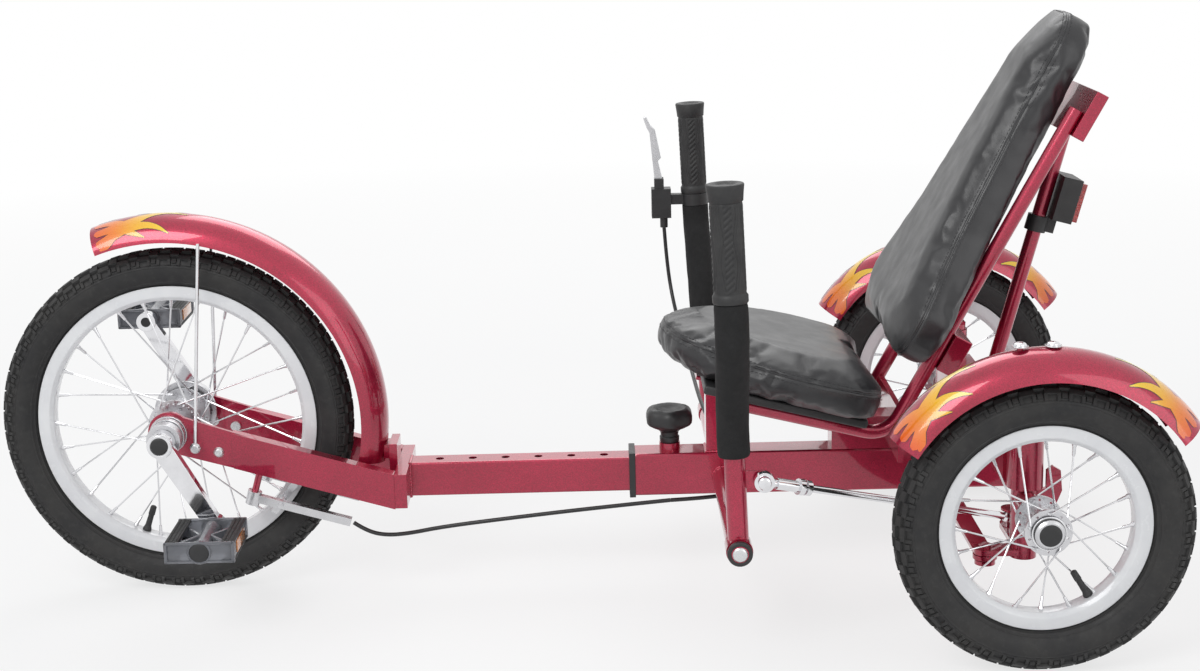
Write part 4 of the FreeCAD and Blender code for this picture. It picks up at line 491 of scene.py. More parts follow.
def make_camera():
    yaw, pitch, roll = (math.radians(a) for a in (-0.056, 13.346, -1.439))
    forward = Vector((math.sin(yaw) * math.cos(pitch), math.cos(yaw) * math.cos(pitch),
                      -math.sin(pitch)))
    right = Vector((math.cos(yaw), -math.sin(yaw), 0.0))
    up = right.cross(forward)
    across = right * math.cos(roll) + up * math.sin(roll)
    upward = up * math.cos(roll) - right * math.sin(roll)
    data = bpy.data.cameras.new("photo_camera")
    data.sensor_width = 36.0
    data.lens = 58.418
    item = bpy.data.objects.new("photo_camera", data)
    bpy.context.scene.collection.objects.link(item)
    turn = Matrix((across, upward, -forward)).transposed()
    item.matrix_world = Matrix.Translation((0.0489, -2.166422, 0.801796)) @ turn.to_4x4()
    bpy.context.scene.camera = item


make_camera()


# Tyres: a rounded casing with ribs on its walls and rows of moulded lugs

def lug(shape, point, normal, along, across, half_along, half_across, height):
    """A tread block on the casing, narrower at its top."""
    low, high = point - normal * 0.0008, point + normal * height
    verts = []
    for base, shrink in ((low, 1.0), (high, 0.84)):
        for a, b in ((-1, -1), (1, -1), (1, 1), (-1, 1)):
            verts.append(base + along * a * half_along * shrink + across * b * half_across * shrink)
    shape.add(verts, [[4, 5, 6, 7], [0, 1, 5, 4], [1, 2, 6, 5], [2, 3, 7, 6], [3, 0, 4, 7]])


def tyre(node, centre, radius, rim_radius, lugs, body):
    """A casing with ribs on both walls and rows of lugs round its tread."""
    half, lift = 0.0238, 0.0030
    wide = (radius + rim_radius + 0.001) / 2
    high = radius - lift - wide
    low = (wide - rim_radius - 0.001) / 0.884
    ribs = ((-52.0, 0.0007), (-40.0, 0.0004), (8.0, 0.0005), (16.0, 0.0005))

    def section(t):
        rise = sum(d * math.exp(-((t - place) / 1.6) ** 2) for place, d in ribs)
        y = (half + rise) * math.cos(math.radians(t))
        z = wide + ((high if t > 0 else low) + rise) * math.sin(math.radians(t))
        return y, z

    marks = [-62.0 + 2.0 * k for k in range(77)]
    wall = [section(t) for t in marks]
    profile = [(0.0110, rim_radius - 0.009)] + wall
    profile += [(-y, z) for y, z in reversed(wall[:-1])] + [(-0.0110, rim_radius - 0.009)]
    shape = Shape()
    lathe(shape, profile, centre, (0, 1, 0), 168, closed=True)
    centre = Vector(centre)

    def on_wall(angle, t, side):
        out = Vector((math.cos(angle), 0.0, math.sin(angle)))
        y, z = section(t)
        y2, z2 = section(t + 1.0)
        slope = (Vector((0, side * (y2 - y), 0)) + out * (z2 - z)).normalized()
        round_way = Vector((-math.sin(angle), 0.0, math.cos(angle)))
        normal = slope.cross(round_way)
        spot = centre + out * z + Vector((0, side * y, 0))
        if normal.dot(spot - centre - out * (wide * 0.96)) < 0:
            normal = -normal
        return spot, normal, round_way, slope

    pitch = 2 * math.pi / lugs
    run = radius * pitch
    for number in range(lugs):
        for side in (-1.0, 1.0):
            turn = number * pitch + (0.5 * pitch if side > 0 else 0.0)
            for t, shift, part, across, height in (
                    (77.0, 0.0, 0.52, 0.0042, lift), (59.0, 0.5, 0.46, 0.0046, lift),
                    (43.0, 0.0, 0.66, 0.0034, 0.0026), (28.0, -0.26, 0.16, 0.0046, 0.0017),
                    (28.0, 0.26, 0.16, 0.0046, 0.0017), (31.0, 0.5, 0.24, 0.0030, 0.0013)):
                spot, normal, along, slope = on_wall(turn + shift * pitch, t, side)
                lug(shape, spot, normal, along, slope, run * part / 2, across, height)
    shape.piece(node + "_casing", body, [TYRE], (node,), angle=40.0)


tyre("front_tyre", FRONT_AXLE, 0.201, 0.1595, 52, "front_wheel")
for label, side in SIDES:
    tyre(label + "_tyre", (REAR_X, HALF_TRACK * side, REAR_Z), 0.1525, 0.1075, 36,
         "wheel_" + label)


# Rims with hooked flanges, and a valve stem on each

def rim(node, centre, radius, body, valve_angle):
    """A hoop with hooked flanges, and its valve stem."""
    shape = Shape()
    outline = [(-0.013, radius), (-0.0112, radius), (-0.0112, radius - 0.0112),
               (0.0112, radius - 0.0112), (0.0112, radius), (0.013, radius),
               (0.013, radius - 0.0125), (0.0090, radius - 0.0172), (0.0030, radius - 0.0175),
               (-0.0030, radius - 0.0175), (-0.0090, radius - 0.0172),
               (-0.013, radius - 0.0125)]
    lathe(shape, rounded(outline, 0.0011), centre, (0, 1, 0), 180, closed=True)
    shape.piece(node + "_hoop", body, [WHITE], (node,), angle=50.0)
    out = Vector((math.cos(valve_angle), 0.0, math.sin(valve_angle)))
    foot = Vector(centre) + out * (radius - 0.018)
    valve = Shape()
    lathe(valve, rounded([(0.0, 0.0), (0.0, 0.0052), (0.002, 0.0050), (0.006, 0.0036),
                          (0.020, 0.0032), (0.0205, 0.0)], 0.0006, closed=False),
          foot, -out, 20)
    lathe(valve, rounded([(0.0200, 0.0), (0.0200, 0.0037), (0.0300, 0.0034), (0.0312, 0.0020),
                          (0.0312, 0.0)], 0.0005, closed=False), foot, -out, 20,
          lobes=lambda angle, along, reach: reach * (1 + 0.05 * math.cos(10 * angle)))
    valve.piece(node + "_valve", body, [RUBBER])


rim("front_rim", FRONT_AXLE, 0.1595, "front_wheel", math.radians(250))
rim("left_rim", (REAR_X, -HALF_TRACK, REAR_Z), 0.1075, "wheel_left", math.radians(-58))
rim("right_rim", (REAR_X, HALF_TRACK, REAR_Z), 0.1075, "wheel_right", math.radians(140))


# Spokes with bent heads in the flange and nipples at the rim

def spoke_set(node, centre, count, flange, offset, rim_radius, body):
    """Crossed spokes, inner and outer ones in turn, with their nipples."""
    centre = Vector(centre)
    start_radius, end_radius = flange - 0.004, rim_radius - 0.0172
    face, rim_offset, lace = 0.00265, 0.003, math.radians(52)
    across = start_radius * math.sin(lace)
    reach = end_radius - start_radius * math.cos(lace)
    cover = (math.sqrt(flange ** 2 - across ** 2) - start_radius * math.cos(lace)) / reach
    outer = (offset + face - rim_offset * cover) / (1 - cover)
    shape = Shape()
    for index in range(count):
        side = 1.0 if index % 2 else -1.0
        lean = 1.0 if (index // 2) % 2 else -1.0
        rim_angle = 2 * math.pi * index / count
        hub_angle = rim_angle + lean * lace
        level = outer if lean > 0 else offset - face

        def spot(angle, radius, y):
            return centre + Vector((radius * math.cos(angle), side * y, radius * math.sin(angle)))

        head = spot(hub_angle, start_radius, offset - lean * 0.0021)
        elbow = spot(hub_angle, start_radius, level)
        end = spot(rim_angle, end_radius, rim_offset)
        way = (end - elbow).normalized()
        bend = elbow + (head - elbow).normalized() * 0.0010
        tube(shape, [head, bend, elbow + way * 0.0012, end], 0.00098, 8)
        lathe(shape, [(-0.0008, 0.0), (-0.0006, 0.0013), (0.0002, 0.0019), (0.0007, 0.0010)],
              head, elbow - head, 10)
        lathe(shape, [(-0.0130, 0.0011), (-0.0120, 0.0016), (-0.0035, 0.0019),
                      (-0.0020, 0.0026), (0.0008, 0.0028)], end, way, 10)
    shape.piece(node + "_laced", body, [SPOKE], (node,))


spoke_set("front_spokes", FRONT_AXLE, 28, 0.030, 0.026, 0.1595, "front_wheel")
for label, side in SIDES:
    spoke_set(label + "_spokes", (REAR_X, HALF_TRACK * side, REAR_Z), 20, 0.024, 0.022, 0.1075,
              "wheel_" + label)


# Rounded copies of the rigid frame parts

def long_outer(node, wall):
    """Test for the four long outer corners of a square tube."""
    low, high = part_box(node)

    def test(edge):
        way = edge.verts[1].co - edge.verts[0].co
        middle = (edge.verts[0].co + edge.verts[1].co) / 2
        if abs(way.x) < 0.02 or abs(way.y) > 1e-4 or abs(way.z) > 1e-4:
            return False
        return abs(abs(middle.y) - high.y) < wall / 2
    return test


def on_knuckle_steel(spot):
    """Kingpin nut, studs, stub axle and fender bolts of a knuckle."""
    y = abs(spot.y)
    bolt = spot.z > 0.3381 and y > 0.28
    nut = spot.z > 0.2351 and y < 0.234
    stub = y > 0.2455 and abs(spot.z - REAR_Z) < 0.0105
    stud = spot.z > 0.1042 and y < 0.166
    tie = abs(spot.x - 0.44875) < 0.0115 and (spot.z < 0.0915 or spot.z > 0.0983) and y < 0.228
    return bolt or nut or stub or stud or tie


dress("boom_tube", 0.0004, pick=long_outer("boom_tube", 0.002), wide=0.0026)
dress("main_tube", 0.0005, pick=long_outer("main_tube", 0.0025), wide=0.0030)
for name, width, tests in (
        ("left_fork_arm", 0.0012, ()), ("right_fork_arm", 0.0012, ()), ("fork_crown", 0.0014, ()),
        ("slide_collar", 0.0007, ()), ("rear_axle_beam", 0.0014, ()), ("seat_post", 0.0011, ()),
        ("seat_bracket", 0.0010, ()), ("rail_crossbar", 0.0016, ()), ("back_strut", 0.0012, ()),
        ("seat_pan", 0.0030, ()), ("reflector_mount", 0.0018, ()), ("tie_rod", 0.0009, ()),
        ("left_knuckle", 0.0007, ((ZINC, on_knuckle_steel),)),
        ("right_knuckle", 0.0007, ((ZINC, on_knuckle_steel),)),
        ("hub_cups", 0.0007, ()), ("left_crank", 0.0022, ()), ("right_crank", 0.0022, ()),
        ("crank_spindle", 0.0005, ()), ("left_hub", 0.0005, ()), ("right_hub", 0.0005, ()),
        ("front_hub", 0.0006, ((PLASTIC, lambda spot: spot.y > 0.0332),)),
        ("brake_mount", 0.0012, ((CHROME, lambda spot: spot.z < 0.3652),)),
        ("brake_blade", 0.0022, ()),
        ("left_brake_arm", 0.0010, ((RUBBER, lambda spot: abs(spot.y) < 0.0247),)),
        ("right_brake_arm", 0.0010, ((RUBBER, lambda spot: abs(spot.y) < 0.0247),)),
        ("lever_cross_tubes", 0.0008, ((ZINC, lambda spot: abs(spot.y) > 0.2485),)),
        ("dropout_screws", 0.0006, ()),
        ("left_lever", 0.0006, ((ZINC, lambda spot: spot.y < -0.2641 and spot.x > 0.2030),)),
        ("right_lever", 0.0006, ((ZINC, lambda spot: spot.y > 0.2641 and spot.x > 0.2030),)),
        ("left_steering_rod", 0.0005, ()), ("right_steering_rod", 0.0005, ())):
    dress(name, width, tests=tests)


# Flames at the ends of the fenders: tongues laid along and across the crown

TONGUES = (
    ((5, 39, 4.0), (22, 35, 5.4), (42, 27, 6.6), (64, 25, 5.0), (80, 29, 3.0), (95, 37, 0.3)),
    ((5, 24, 4.4), (22, 23, 5.6), (40, 22, 8.2), (56, 14, 7.0), (72, 5, 5.0), (90, 1, 3.0),
     (112, 6, 0.3)),
    ((5, 9, 4.4), (20, 10, 5.0), (34, 15, 5.4), (46, 20, 2.5)),
    ((8, 45, 2.2), (18, 43, 3.0), (30, 37, 0.8)),
    ((34, 26, 3.5), (50, 33, 3.4), (66, 41, 0.3)))
CROWN_ROUND = 0.035875


def flames(name, body, axle, crest, start, turn, material):
    """Tongues from a fender's end at an angle in degrees, onwards in one turning way."""
    centre = Vector(axle)
    hub_to_round = crest - CROWN_ROUND
    shape = Shape()

    def place(u, v, lift):
        angle = math.radians(start) + turn * u / crest
        tilt = v / CROWN_ROUND
        reach = hub_to_round + (CROWN_ROUND + lift) * math.cos(tilt)
        across = (CROWN_ROUND + lift) * math.sin(tilt)
        return centre + Vector((reach * math.cos(angle), across, reach * math.sin(angle)))

    for mirror in (-1.0, 1.0):
        for number, tongue in enumerate(TONGUES):
            line = smooth_line([(u / 1000, mirror * v / 1000, w / 1000) for u, v, w in tongue], 7)
            first = line[0]
            for grow, lift, tag in ((0.0009, 0.00010, 1), (0.0, 0.00018 + number * 0.00004, 0)):
                verts, faces = [], []
                for index, here in enumerate(line):
                    before, after = line[max(index - 1, 0)], line[min(index + 1, len(line) - 1)]
                    way = Vector((after.x - before.x, after.y - before.y)).normalized()
                    gone = (Vector(here.xy) - Vector(first.xy)).length
                    blunt = max(0.0, 1.0 - gone / first.z)
                    half = (here.z + grow) * math.sqrt(max(0.02, 1.0 - blunt * blunt))
                    for column in range(7):
                        offset = half * (column / 3.0 - 1.0)
                        v = here.y + way.x * offset
                        v = max(-0.0462, min(0.0462, v))
                        verts.append(place(here.x - way.y * offset, v, lift))
                for row in range(len(line) - 1):
                    for column in range(6):
                        a = row * 7 + column
                        faces.append([a, a + 1, a + 8, a + 7])
                shape.add(verts, faces, tag)
    shape.piece(name, body, [material, DARK_EDGE], weld=0)


flames("front_flames", "boom", FRONT_AXLE, 0.241, 110.0, -1.0,
       flame_finish("front_flame_paint", FRONT_AXLE, 109.0, 84.0))
for label, side in SIDES:
    rear_axle = (REAR_X, HALF_TRACK * side, REAR_Z)
    flames(label + "_lead_flames", "knuckle_" + label, rear_axle, 0.185, 148.0, -1.0,
           flame_finish(label + "_lead_flame_paint", rear_axle, 146.0, 114.0))
    flames(label + "_tail_flames", "knuckle_" + label, rear_axle, 0.185, 35.0, 1.0,
           flame_finish(label + "_tail_flame_paint", rear_axle, 37.0, 69.0))


# Caps, bolts and washers

SUNK = 0.0002
CRANK_FACE = 0.1119


def dome(name, body, centre, axis, radius, height, material):
    """A low round head with a rolled edge, sunk a little into its face."""
    shape = Shape()
    top = [(height * (0.45 + 0.55 * math.cos(t * math.pi / 16)),
            radius * (0.12 + 0.82 * math.sin(t * math.pi / 16))) for t in range(8, -1, -1)]
    profile = [(-SUNK, 0.0), (-SUNK, radius * 0.97), (height * 0.12, radius),
               (height * 0.34, radius)] + top + [(height, 0.0)]
    lathe(shape, profile, centre, axis, 48)
    return shape.piece(name, body, [material])


def washer(name, body, centre, axis, outer, inner, thick, material):
    """A flat ring with softened edges."""
    shape = Shape()
    profile = rounded([(-0.0001, inner), (-0.0001, outer), (thick, outer), (thick, inner)],
                      thick * 0.3)
    lathe(shape, profile, centre, axis, 48, closed=True)
    return shape.piece(name, body, [material])


PEDAL_AT = {"left": Vector((-0.38625, -0.157, 0.10747)),
            "right": Vector((-0.49425, 0.157, 0.29453))}
for label, side in SIDES:
    out = Vector((0.0, side, 0.0))
    rear = Vector((REAR_X, side * HALF_TRACK, REAR_Z))
    dome(label + "_hub_cap", "wheel_" + label, rear + out * 0.0262, out, 0.0161, 0.0082, PLASTIC)
    washer(label + "_hub_ring", "wheel_" + label, rear + out * 0.0258, out, 0.0178, 0.0150,
           0.0014, CHROME)
    boss = FRONT_AXLE + out * CRANK_FACE
    dome(label + "_crank_cap", "cranks", boss, out, 0.0098, 0.0022, PLASTIC)
    washer(label + "_crank_ring", "cranks", boss, out, 0.0128, 0.0102, 0.0009, CHROME)
    eye = Vector((PEDAL_AT[label].x, side * 0.099, PEDAL_AT[label].z))
    dome(label + "_eye_cap", "cranks", eye, -out, 0.0066, 0.0016, PLASTIC)
    washer(label + "_eye_ring", "cranks", eye, -out, 0.0092, 0.0068, 0.0008, CHROME)
    pivot = Vector((0.18475, side * 0.283, 0.121))
    washer(label + "_pivot_ring", "frame", pivot - out * 0.0055, out, 0.0132, 0.0085, 0.0062,
           PLASTIC)
    dome(label + "_pivot_bolt", "frame", pivot, out, 0.0078, 0.0032, ZINC)
    rod_bolt = Vector((0.21075, side * 0.2799, 0.195))
    dome(label + "_rod_dome", "lever_" + label, rod_bolt, out, 0.0068, 0.0026, CHROME)
    for number, shift in enumerate((-0.0165, 0.0165)):
        head = Vector((0.47675 + shift, side * HALF_TRACK, 0.33845))
        washer("%s_fender_washer_%d" % (label, number), "knuckle_" + label, head, (0, 0, 1),
               0.0086, 0.0030, 0.0008, ZINC)
        dome("%s_fender_dome_%d" % (label, number), "knuckle_" + label, head, (0, 0, 1), 0.0068,
             0.0046, CHROME)


# Weld beads: lumpy rolls where the tubes meet

def bead(name, corners, body, thick=0.0017):
    points = []
    for index, corner in enumerate(corners):
        after = corners[(index + 1) % len(corners)]
        steps = max(2, int((Vector(after) - Vector(corner)).length / 0.0009))
        points += [Vector(corner).lerp(Vector(after), k / steps) for k in range(steps)]
    points += points[:2]
    radii = [thick * (1.0 + 0.16 * math.sin(index * 1.55) + 0.10 * noise.noise(p * 300))
             for index, p in enumerate(points)]
    shape = Shape()
    tube(shape, points, radii, 8, caps=False)
    shape.piece(name, body, [PAINT], weld=0)


def ring_of(centre, radius, steps=20):
    return [(centre[0] + radius * math.cos(2 * math.pi * k / steps),
             centre[1] + radius * math.sin(2 * math.pi * k / steps), centre[2])
            for k in range(steps)]


def frame_of(x0, x1, y0, y1, z0, z1):
    """Corners of a rectangle that is flat in the direction whose two values agree."""
    if x0 == x1:
        return [(x0, y0, z0), (x0, y1, z0), (x0, y1, z1), (x0, y0, z1)]
    return [(x0, y0, z0), (x1, y0, z0), (x1, y1, z0), (x0, y1, z0)]


bead("post_weld", frame_of(0.16575, 0.19775, -0.016, 0.016, 0.1512, 0.1512), "frame")
bead("riser_weld", frame_of(0.47075, 0.50675, -0.018, 0.018, 0.1512, 0.1512), "frame")
bead("boom_weld", frame_of(-0.1760, -0.1760, -0.016, 0.016, 0.106, 0.146), "boom")
bead("strut_weld", ring_of((0.4892, 0.0, 0.2092), 0.0083), "frame", 0.0013)
for label, side in SIDES:
    bead(label + "_cross_weld", [(0.18475 + 0.0128 * math.cos(a), side * 0.0203,
                                  0.121 + 0.0128 * math.sin(a))
                                 for a in [2 * math.pi * k / 24 for k in range(24)]],
         "frame", 0.0015)


# Pedals: a clear grey cage round the barrel, with dark studded treads and amber reflectors

def pedal(label, side):
    shape = Shape()
    middle = PEDAL_AT[label]
    cage, tread, amber, cap = 0, 1, 2, 3
    for edge in (-1.0, 1.0):
        plate_y = edge * 0.0397
        for x0, x1, z0, z1 in (
                (-0.0375, 0.0375, 0.0088, 0.0118), (-0.0375, 0.0375, -0.0118, -0.0088),
                (-0.0378, -0.0340, -0.0118, 0.0118), (0.0340, 0.0378, -0.0118, 0.0118)):
            block(shape, (x1 - x0, 0.0042, z1 - z0),
                  middle + Vector(((x0 + x1) / 2, plate_y, (z0 + z1) / 2)), 0.0011, cage)
        block(shape, (0.068, 0.0018, 0.018), middle + Vector((0, plate_y - edge * 0.0006, 0)),
              0.0004, cage)
        ring = [(-0.0018, 0.0), (-0.0018, 0.0128), (0.0016, 0.0128), (0.0024, 0.0120),
                (0.0024, 0.0108), (0.0012, 0.0104), (0.0012, 0.0)]
        lathe(shape, ring, middle + Vector((0, plate_y, 0)), (0, edge, 0), 40, cage)
        for across in (-1.0, 1.0):
            start = middle + Vector((across * 0.006, 0.0, 0.0))
            end = middle + Vector((across * 0.031, edge * 0.034, 0.0))
            way = (end - start).normalized()
            turn = Matrix((way, Vector((-way.y, way.x, 0)), Vector((0, 0, 1)))).transposed()
            block(shape, ((end - start).length, 0.0046, 0.014), (start + end) / 2, 0.0014, cage,
                  turn=turn)
    lathe(shape, rounded([(-0.0385, 0.0), (-0.0385, 0.0112), (-0.024, 0.0096), (-0.010, 0.0088),
                          (0.010, 0.0088), (0.024, 0.0096), (0.0385, 0.0112), (0.0385, 0.0)],
                         0.004, closed=False), middle, (0, 1, 0), 40, cage)
    for across in (-1.0, 1.0):
        block(shape, (0.0042, 0.078, 0.021), middle + Vector((across * 0.0345, 0, 0)), 0.0012, cage)
        block(shape, (0.0020, 0.046, 0.0125), middle + Vector((across * 0.0370, 0, 0)), 0.0006,
              amber)
        for height in (-1.0, 1.0):
            place = middle + Vector((across * 0.0302, 0, height * 0.0098))
            block(shape, (0.0140, 0.0800, 0.0034), place, 0.0010, tread)
            for row in range(3):
                for step in range(16):
                    stud = place + Vector(((row - 1) * 0.0042,
                                           (step - 7.5) * 0.0048 + (row % 2) * 0.0024 - 0.0012,
                                           height * 0.0019))
                    block(shape, (0.0030, 0.0032, 0.0014), stud, 0.0005, tread, steps=1)
    cover = middle + Vector((0, side * 0.0397, 0))
    lathe(shape, [(0.0012, 0.0), (0.0012, 0.0104), (0.0020, 0.0103), (0.0027, 0.0092),
                  (0.0030, 0.0050), (0.0031, 0.0)], cover, (0, side, 0), 40, cap)
    shape.piece(label + "_pedal_cage", "pedal_" + label, [SMOKE, RUBBER, AMBER, PLASTIC],
                (label + "_pedal",))


for label, side in SIDES:
    pedal(label, side)


# Grips with wavy ribs and slanted slots, foam sleeves and the lock knob

LEAN = math.radians(2.3)
LEVER_UP = Vector((-math.sin(LEAN), 0.0, math.cos(LEAN)))


def grip(label, side):
    foot = Vector((0.18475, side * 0.335, 0.121))
    low, top, reach = 0.276, 0.392, 0.016
    outline = [(low, 0.0112), (low, reach + 0.0010), (low + 0.0010, reach + 0.0016),
               (low + 0.0070, reach + 0.0016), (low + 0.0085, reach + 0.0006),
               (low + 0.0100, reach - 0.0002)]
    count = 84
    outline += [(low + 0.0110 + (top - low - 0.0300) * k / count, reach) for k in range(count + 1)]
    outline += [(top - 0.0180, reach - 0.0003), (top - 0.0168, reach + 0.0010),
                (top - 0.0100, reach + 0.0016), (top - 0.0015, reach + 0.0026),
                (top - 0.0003, reach + 0.0020), (top, reach + 0.0004), (top, reach - 0.0035),
                (top - 0.0020, reach - 0.0060), (top - 0.0026, 0.0)]

    def pattern(angle, along, radius):
        if not (low + 0.0108 < along < top - 0.0188) or radius < reach - 0.0001:
            return radius
        fade = min(1.0, (along - low - 0.0108) / 0.003, (top - 0.0188 - along) / 0.003)
        sector = (angle + math.pi / 4) % (math.pi / 2) - math.pi / 4
        wave = 0.44 + 0.10 * math.sin(along * 125.0)
        line = math.exp(-((abs(sector) - wave) / 0.050) ** 2)
        line += 0.7 * math.exp(-((abs(sector) - wave - 0.16) / 0.040) ** 2)
        phase = ((along + 0.0035 * sector * 4.0) / 0.0062) % 1.0
        slot = 1.0 if phase < 0.42 and abs(sector) < 0.24 else 0.0
        return radius - fade * (0.0009 * line + 0.0008 * slot - 0.0003)

    shape = Shape()
    lathe(shape, outline, foot, LEVER_UP, 160, lobes=pattern)
    shape.piece(label + "_grip_rubber", "lever_" + label, [RUBBER], (label + "_grip",),
                angle=60.0)


def sleeve_line(side, end):
    """Points up the lever: a straight foot, two bends and a straight head."""
    bend, turn, splay, knee = 0.060, math.radians(34.8), 0.073, 0.135
    short = bend * math.tan(turn / 2)
    high = knee + splay / math.tan(turn)
    points = [(0.0, 0.100 + 0.002 * k) for k in range(8)]
    for k in range(9):
        a = turn * k / 8
        points.append((bend - bend * math.cos(a), knee - short + bend * math.sin(a)))
    start, stop = points[-1], (splay - short * math.sin(turn), high - short * math.cos(turn))
    points += [(start[0] + (stop[0] - start[0]) * k / 24, start[1] + (stop[1] - start[1]) * k / 24)
               for k in range(1, 25)]
    for k in range(1, 9):
        a = turn * (1 - k / 8)
        points.append((splay - bend + bend * math.cos(a), high + short - bend * math.sin(a)))
    last = points[-1][1]
    points += [(splay, last + (end - last) * k / 6) for k in range(1, 7)]
    foot = Vector((0.18475, side * 0.262, 0.121))
    return [foot + Vector((0, side * y, 0)) + LEVER_UP * z for y, z in points]


def foam_sleeve(label, side, end):
    """A foam tube round the lever, rounded at both ends and slightly uneven."""
    line = sleeve_line(side, end)
    inner, thick = 0.0113, 0.0168
    radii = [thick] * len(line)
    radii[0], radii[1] = thick - 0.0010, thick - 0.0001
    radii[-1], radii[-2] = thick - 0.0010, thick - 0.0002
    shape = Shape()
    low_end = line[0] - LEVER_UP * 0.0002
    high_end = line[-1] + LEVER_UP * 0.0002
    tube(shape, [low_end] + line + [high_end], [inner] + radii + [inner], 48)
    for vert in shape.verts:
        vert += noise.noise_vector(vert * 55.0) * 0.00035 + noise.noise_vector(vert * 260) * 0.00008
    shape.piece(label + "_foam_sleeve", "lever_" + label, [FOAM], (label + "_foam",),
                angle=50.0)


grip("left", -1.0)
grip("right", 1.0)
foam_sleeve("left", -1.0, 0.2755)
foam_sleeve("right", 1.0, 0.2600)

knob_foot = Vector((0.12425, 0.0, 0.1466))
knob = Shape()
lathe(knob, [(0.0, 0.0), (0.0, 0.0034), (0.0006, 0.0040), (0.0166, 0.0040)], knob_foot,
      (0, 0, 1), 32, 1)
lathe(knob, [(0.0134, 0.0040), (0.0134, 0.0100), (0.0150, 0.0112), (0.0200, 0.0114),
             (0.0215, 0.0100), (0.0260, 0.0108), (0.0290, 0.0140), (0.0320, 0.0205),
             (0.0350, 0.0258), (0.0375, 0.0279), (0.0410, 0.0284), (0.0455, 0.0284),
             (0.0490, 0.0276), (0.0520, 0.0256), (0.0538, 0.0228), (0.0544, 0.0200),
             (0.0540, 0.0172), (0.0524, 0.0138), (0.0508, 0.0100), (0.0502, 0.0050),
             (0.0500, 0.0)], knob_foot, (0, 0, 1), 144, 0,
      lobes=lambda angle, along, reach: reach - (
          0.0011 * (1 - math.cos(6 * angle)) if reach > 0.0222 else 0.0))
knob.piece("lock_knob_head", "knob", [PLASTIC, ZINC], ("lock_knob",))


# Brake cable, in two runs

REAR_CABLE = (
    (0.1334, 0.332, 0.3517), (0.1358, 0.331, 0.310), (0.1418, 0.325, 0.262),
    (0.1518, 0.270, 0.222), (0.1598, 0.180, 0.196), (0.1658, 0.090, 0.180),
    (0.1778, 0.038, 0.160), (0.1998, 0.028, 0.141), (0.2238, 0.0265, 0.120),
    (0.2298, 0.0245, 0.101), (0.2148, 0.008, 0.0945), (0.1718, -0.014, 0.095),
    (0.1238, -0.020, 0.095))
FRONT_CABLE = (
    (0.1234, -0.020, 0.095), (0.0418, -0.022, 0.089), (-0.0603, -0.022, 0.079),
    (-0.1403, -0.021, 0.070), (-0.1823, -0.026, 0.064), (-0.2083, -0.037, 0.067),
    (-0.2273, -0.0445, 0.076), (-0.2401, -0.046, 0.086))
CABLE_THICK = 0.0048


def cable_line(name, route):
    """Points read along the route's spline, and the length of its line."""
    curve = bpy.data.curves.new(name + "_line", "CURVE")
    curve.dimensions = "3D"
    curve.resolution_u = 12
    spline = curve.splines.new("NURBS")
    spline.points.add(len(route) - 1)
    for point, spot in zip(spline.points, route):
        point.co = (*spot, 1.0)
    spline.order_u = 3
    spline.use_endpoint_u = True
    item = bpy.data.objects.new(name + "_line", curve)
    bpy.context.scene.collection.objects.link(item)
    bpy.context.view_layer.update()
    mesh = bpy.data.meshes.new_from_object(item.evaluated_get(
        bpy.context.evaluated_depsgraph_get()))
    points = [v.co.copy() for v in mesh.vertices]
    bpy.data.objects.remove(item)
    bpy.data.meshes.remove(mesh)
    length = sum((b - a).length for a, b in zip(points, points[1:]))
    return points, length


def cable(name, node, route, body):
    """One run of the brake cable, as a tube along its route."""
    points, length = cable_line(name, route)
    shape = Shape()
    tube(shape, points, CABLE_THICK / 2, 16)
    run = shape.piece(name, body, [CABLE], (node,), weld=0)


cable("rear_cable_run", "brake_cable_rear", REAR_CABLE, "frame")
cable("front_cable_run", "brake_cable_front", FRONT_CABLE, "boom")


# Cushions: foam inflated in its cover, then seams and stitching

SEAT_ORIGIN = Vector((0.10145, 0.0, 0.26988))
SEAT_AXES = (Vector((0.97030, 0.0, -0.24192)), Vector((0, 1, 0)), Vector((0.24192, 0.0, 0.97030)))
BACK_ORIGIN = Vector((0.39587, 0.0, 0.26004))
BACK_AXES = (Vector((0.48481, 0.0, 0.87462)), Vector((0, 1, 0)), Vector((-0.87462, 0.0, 0.48481)))


def inflate(node, name, origin, axes, voxel, shrink, cap):
    """Remesh a copy of the solid, blow it up as cloth and keep its flat back."""
    mesh = NODES[node].data.copy()
    item = bpy.data.objects.new(name, mesh)
    bpy.context.scene.collection.objects.link(item)
    made = bmesh.new()
    made.from_mesh(mesh)
    bmesh.ops.remove_doubles(made, verts=made.verts, dist=1e-5)
    made.to_mesh(mesh)
    made.free()
    remesh = item.modifiers.new("remesh", "REMESH")
    remesh.mode = "VOXEL"
    remesh.voxel_size = voxel
    settle(item)
    for vert, normal in [(v, v.normal.copy()) for v in item.data.vertices]:
        vert.co = vert.co - normal * shrink
    start = [v.co.copy() for v in item.data.vertices]
    cloth = item.modifiers.new("cloth", "CLOTH")
    cloth.settings.quality = 5
    cloth.settings.mass = 0.3
    cloth.settings.tension_stiffness = 25.0
    cloth.settings.compression_stiffness = 25.0
    cloth.settings.bending_stiffness = 2.0
    cloth.settings.use_pressure = True
    cloth.settings.uniform_pressure_force = 4.0
    cloth.settings.effector_weights.gravity = 0.0
    cloth.collision_settings.use_collision = False
    scene = bpy.context.scene
    for number in range(1, 21):
        scene.frame_set(number)
    settle(item)
    scene.frame_set(1)
    base = origin.dot(axes[2])
    for vert, before in zip(item.data.vertices, start):
        move = vert.co - before
        if move.length > cap:
            move = move.normalized() * cap
        spot = before + move
        low = spot.dot(axes[2]) - base
        if low < 0.0006:
            spot = spot + axes[2] * (0.0006 - low)
        vert.co = spot
    return item


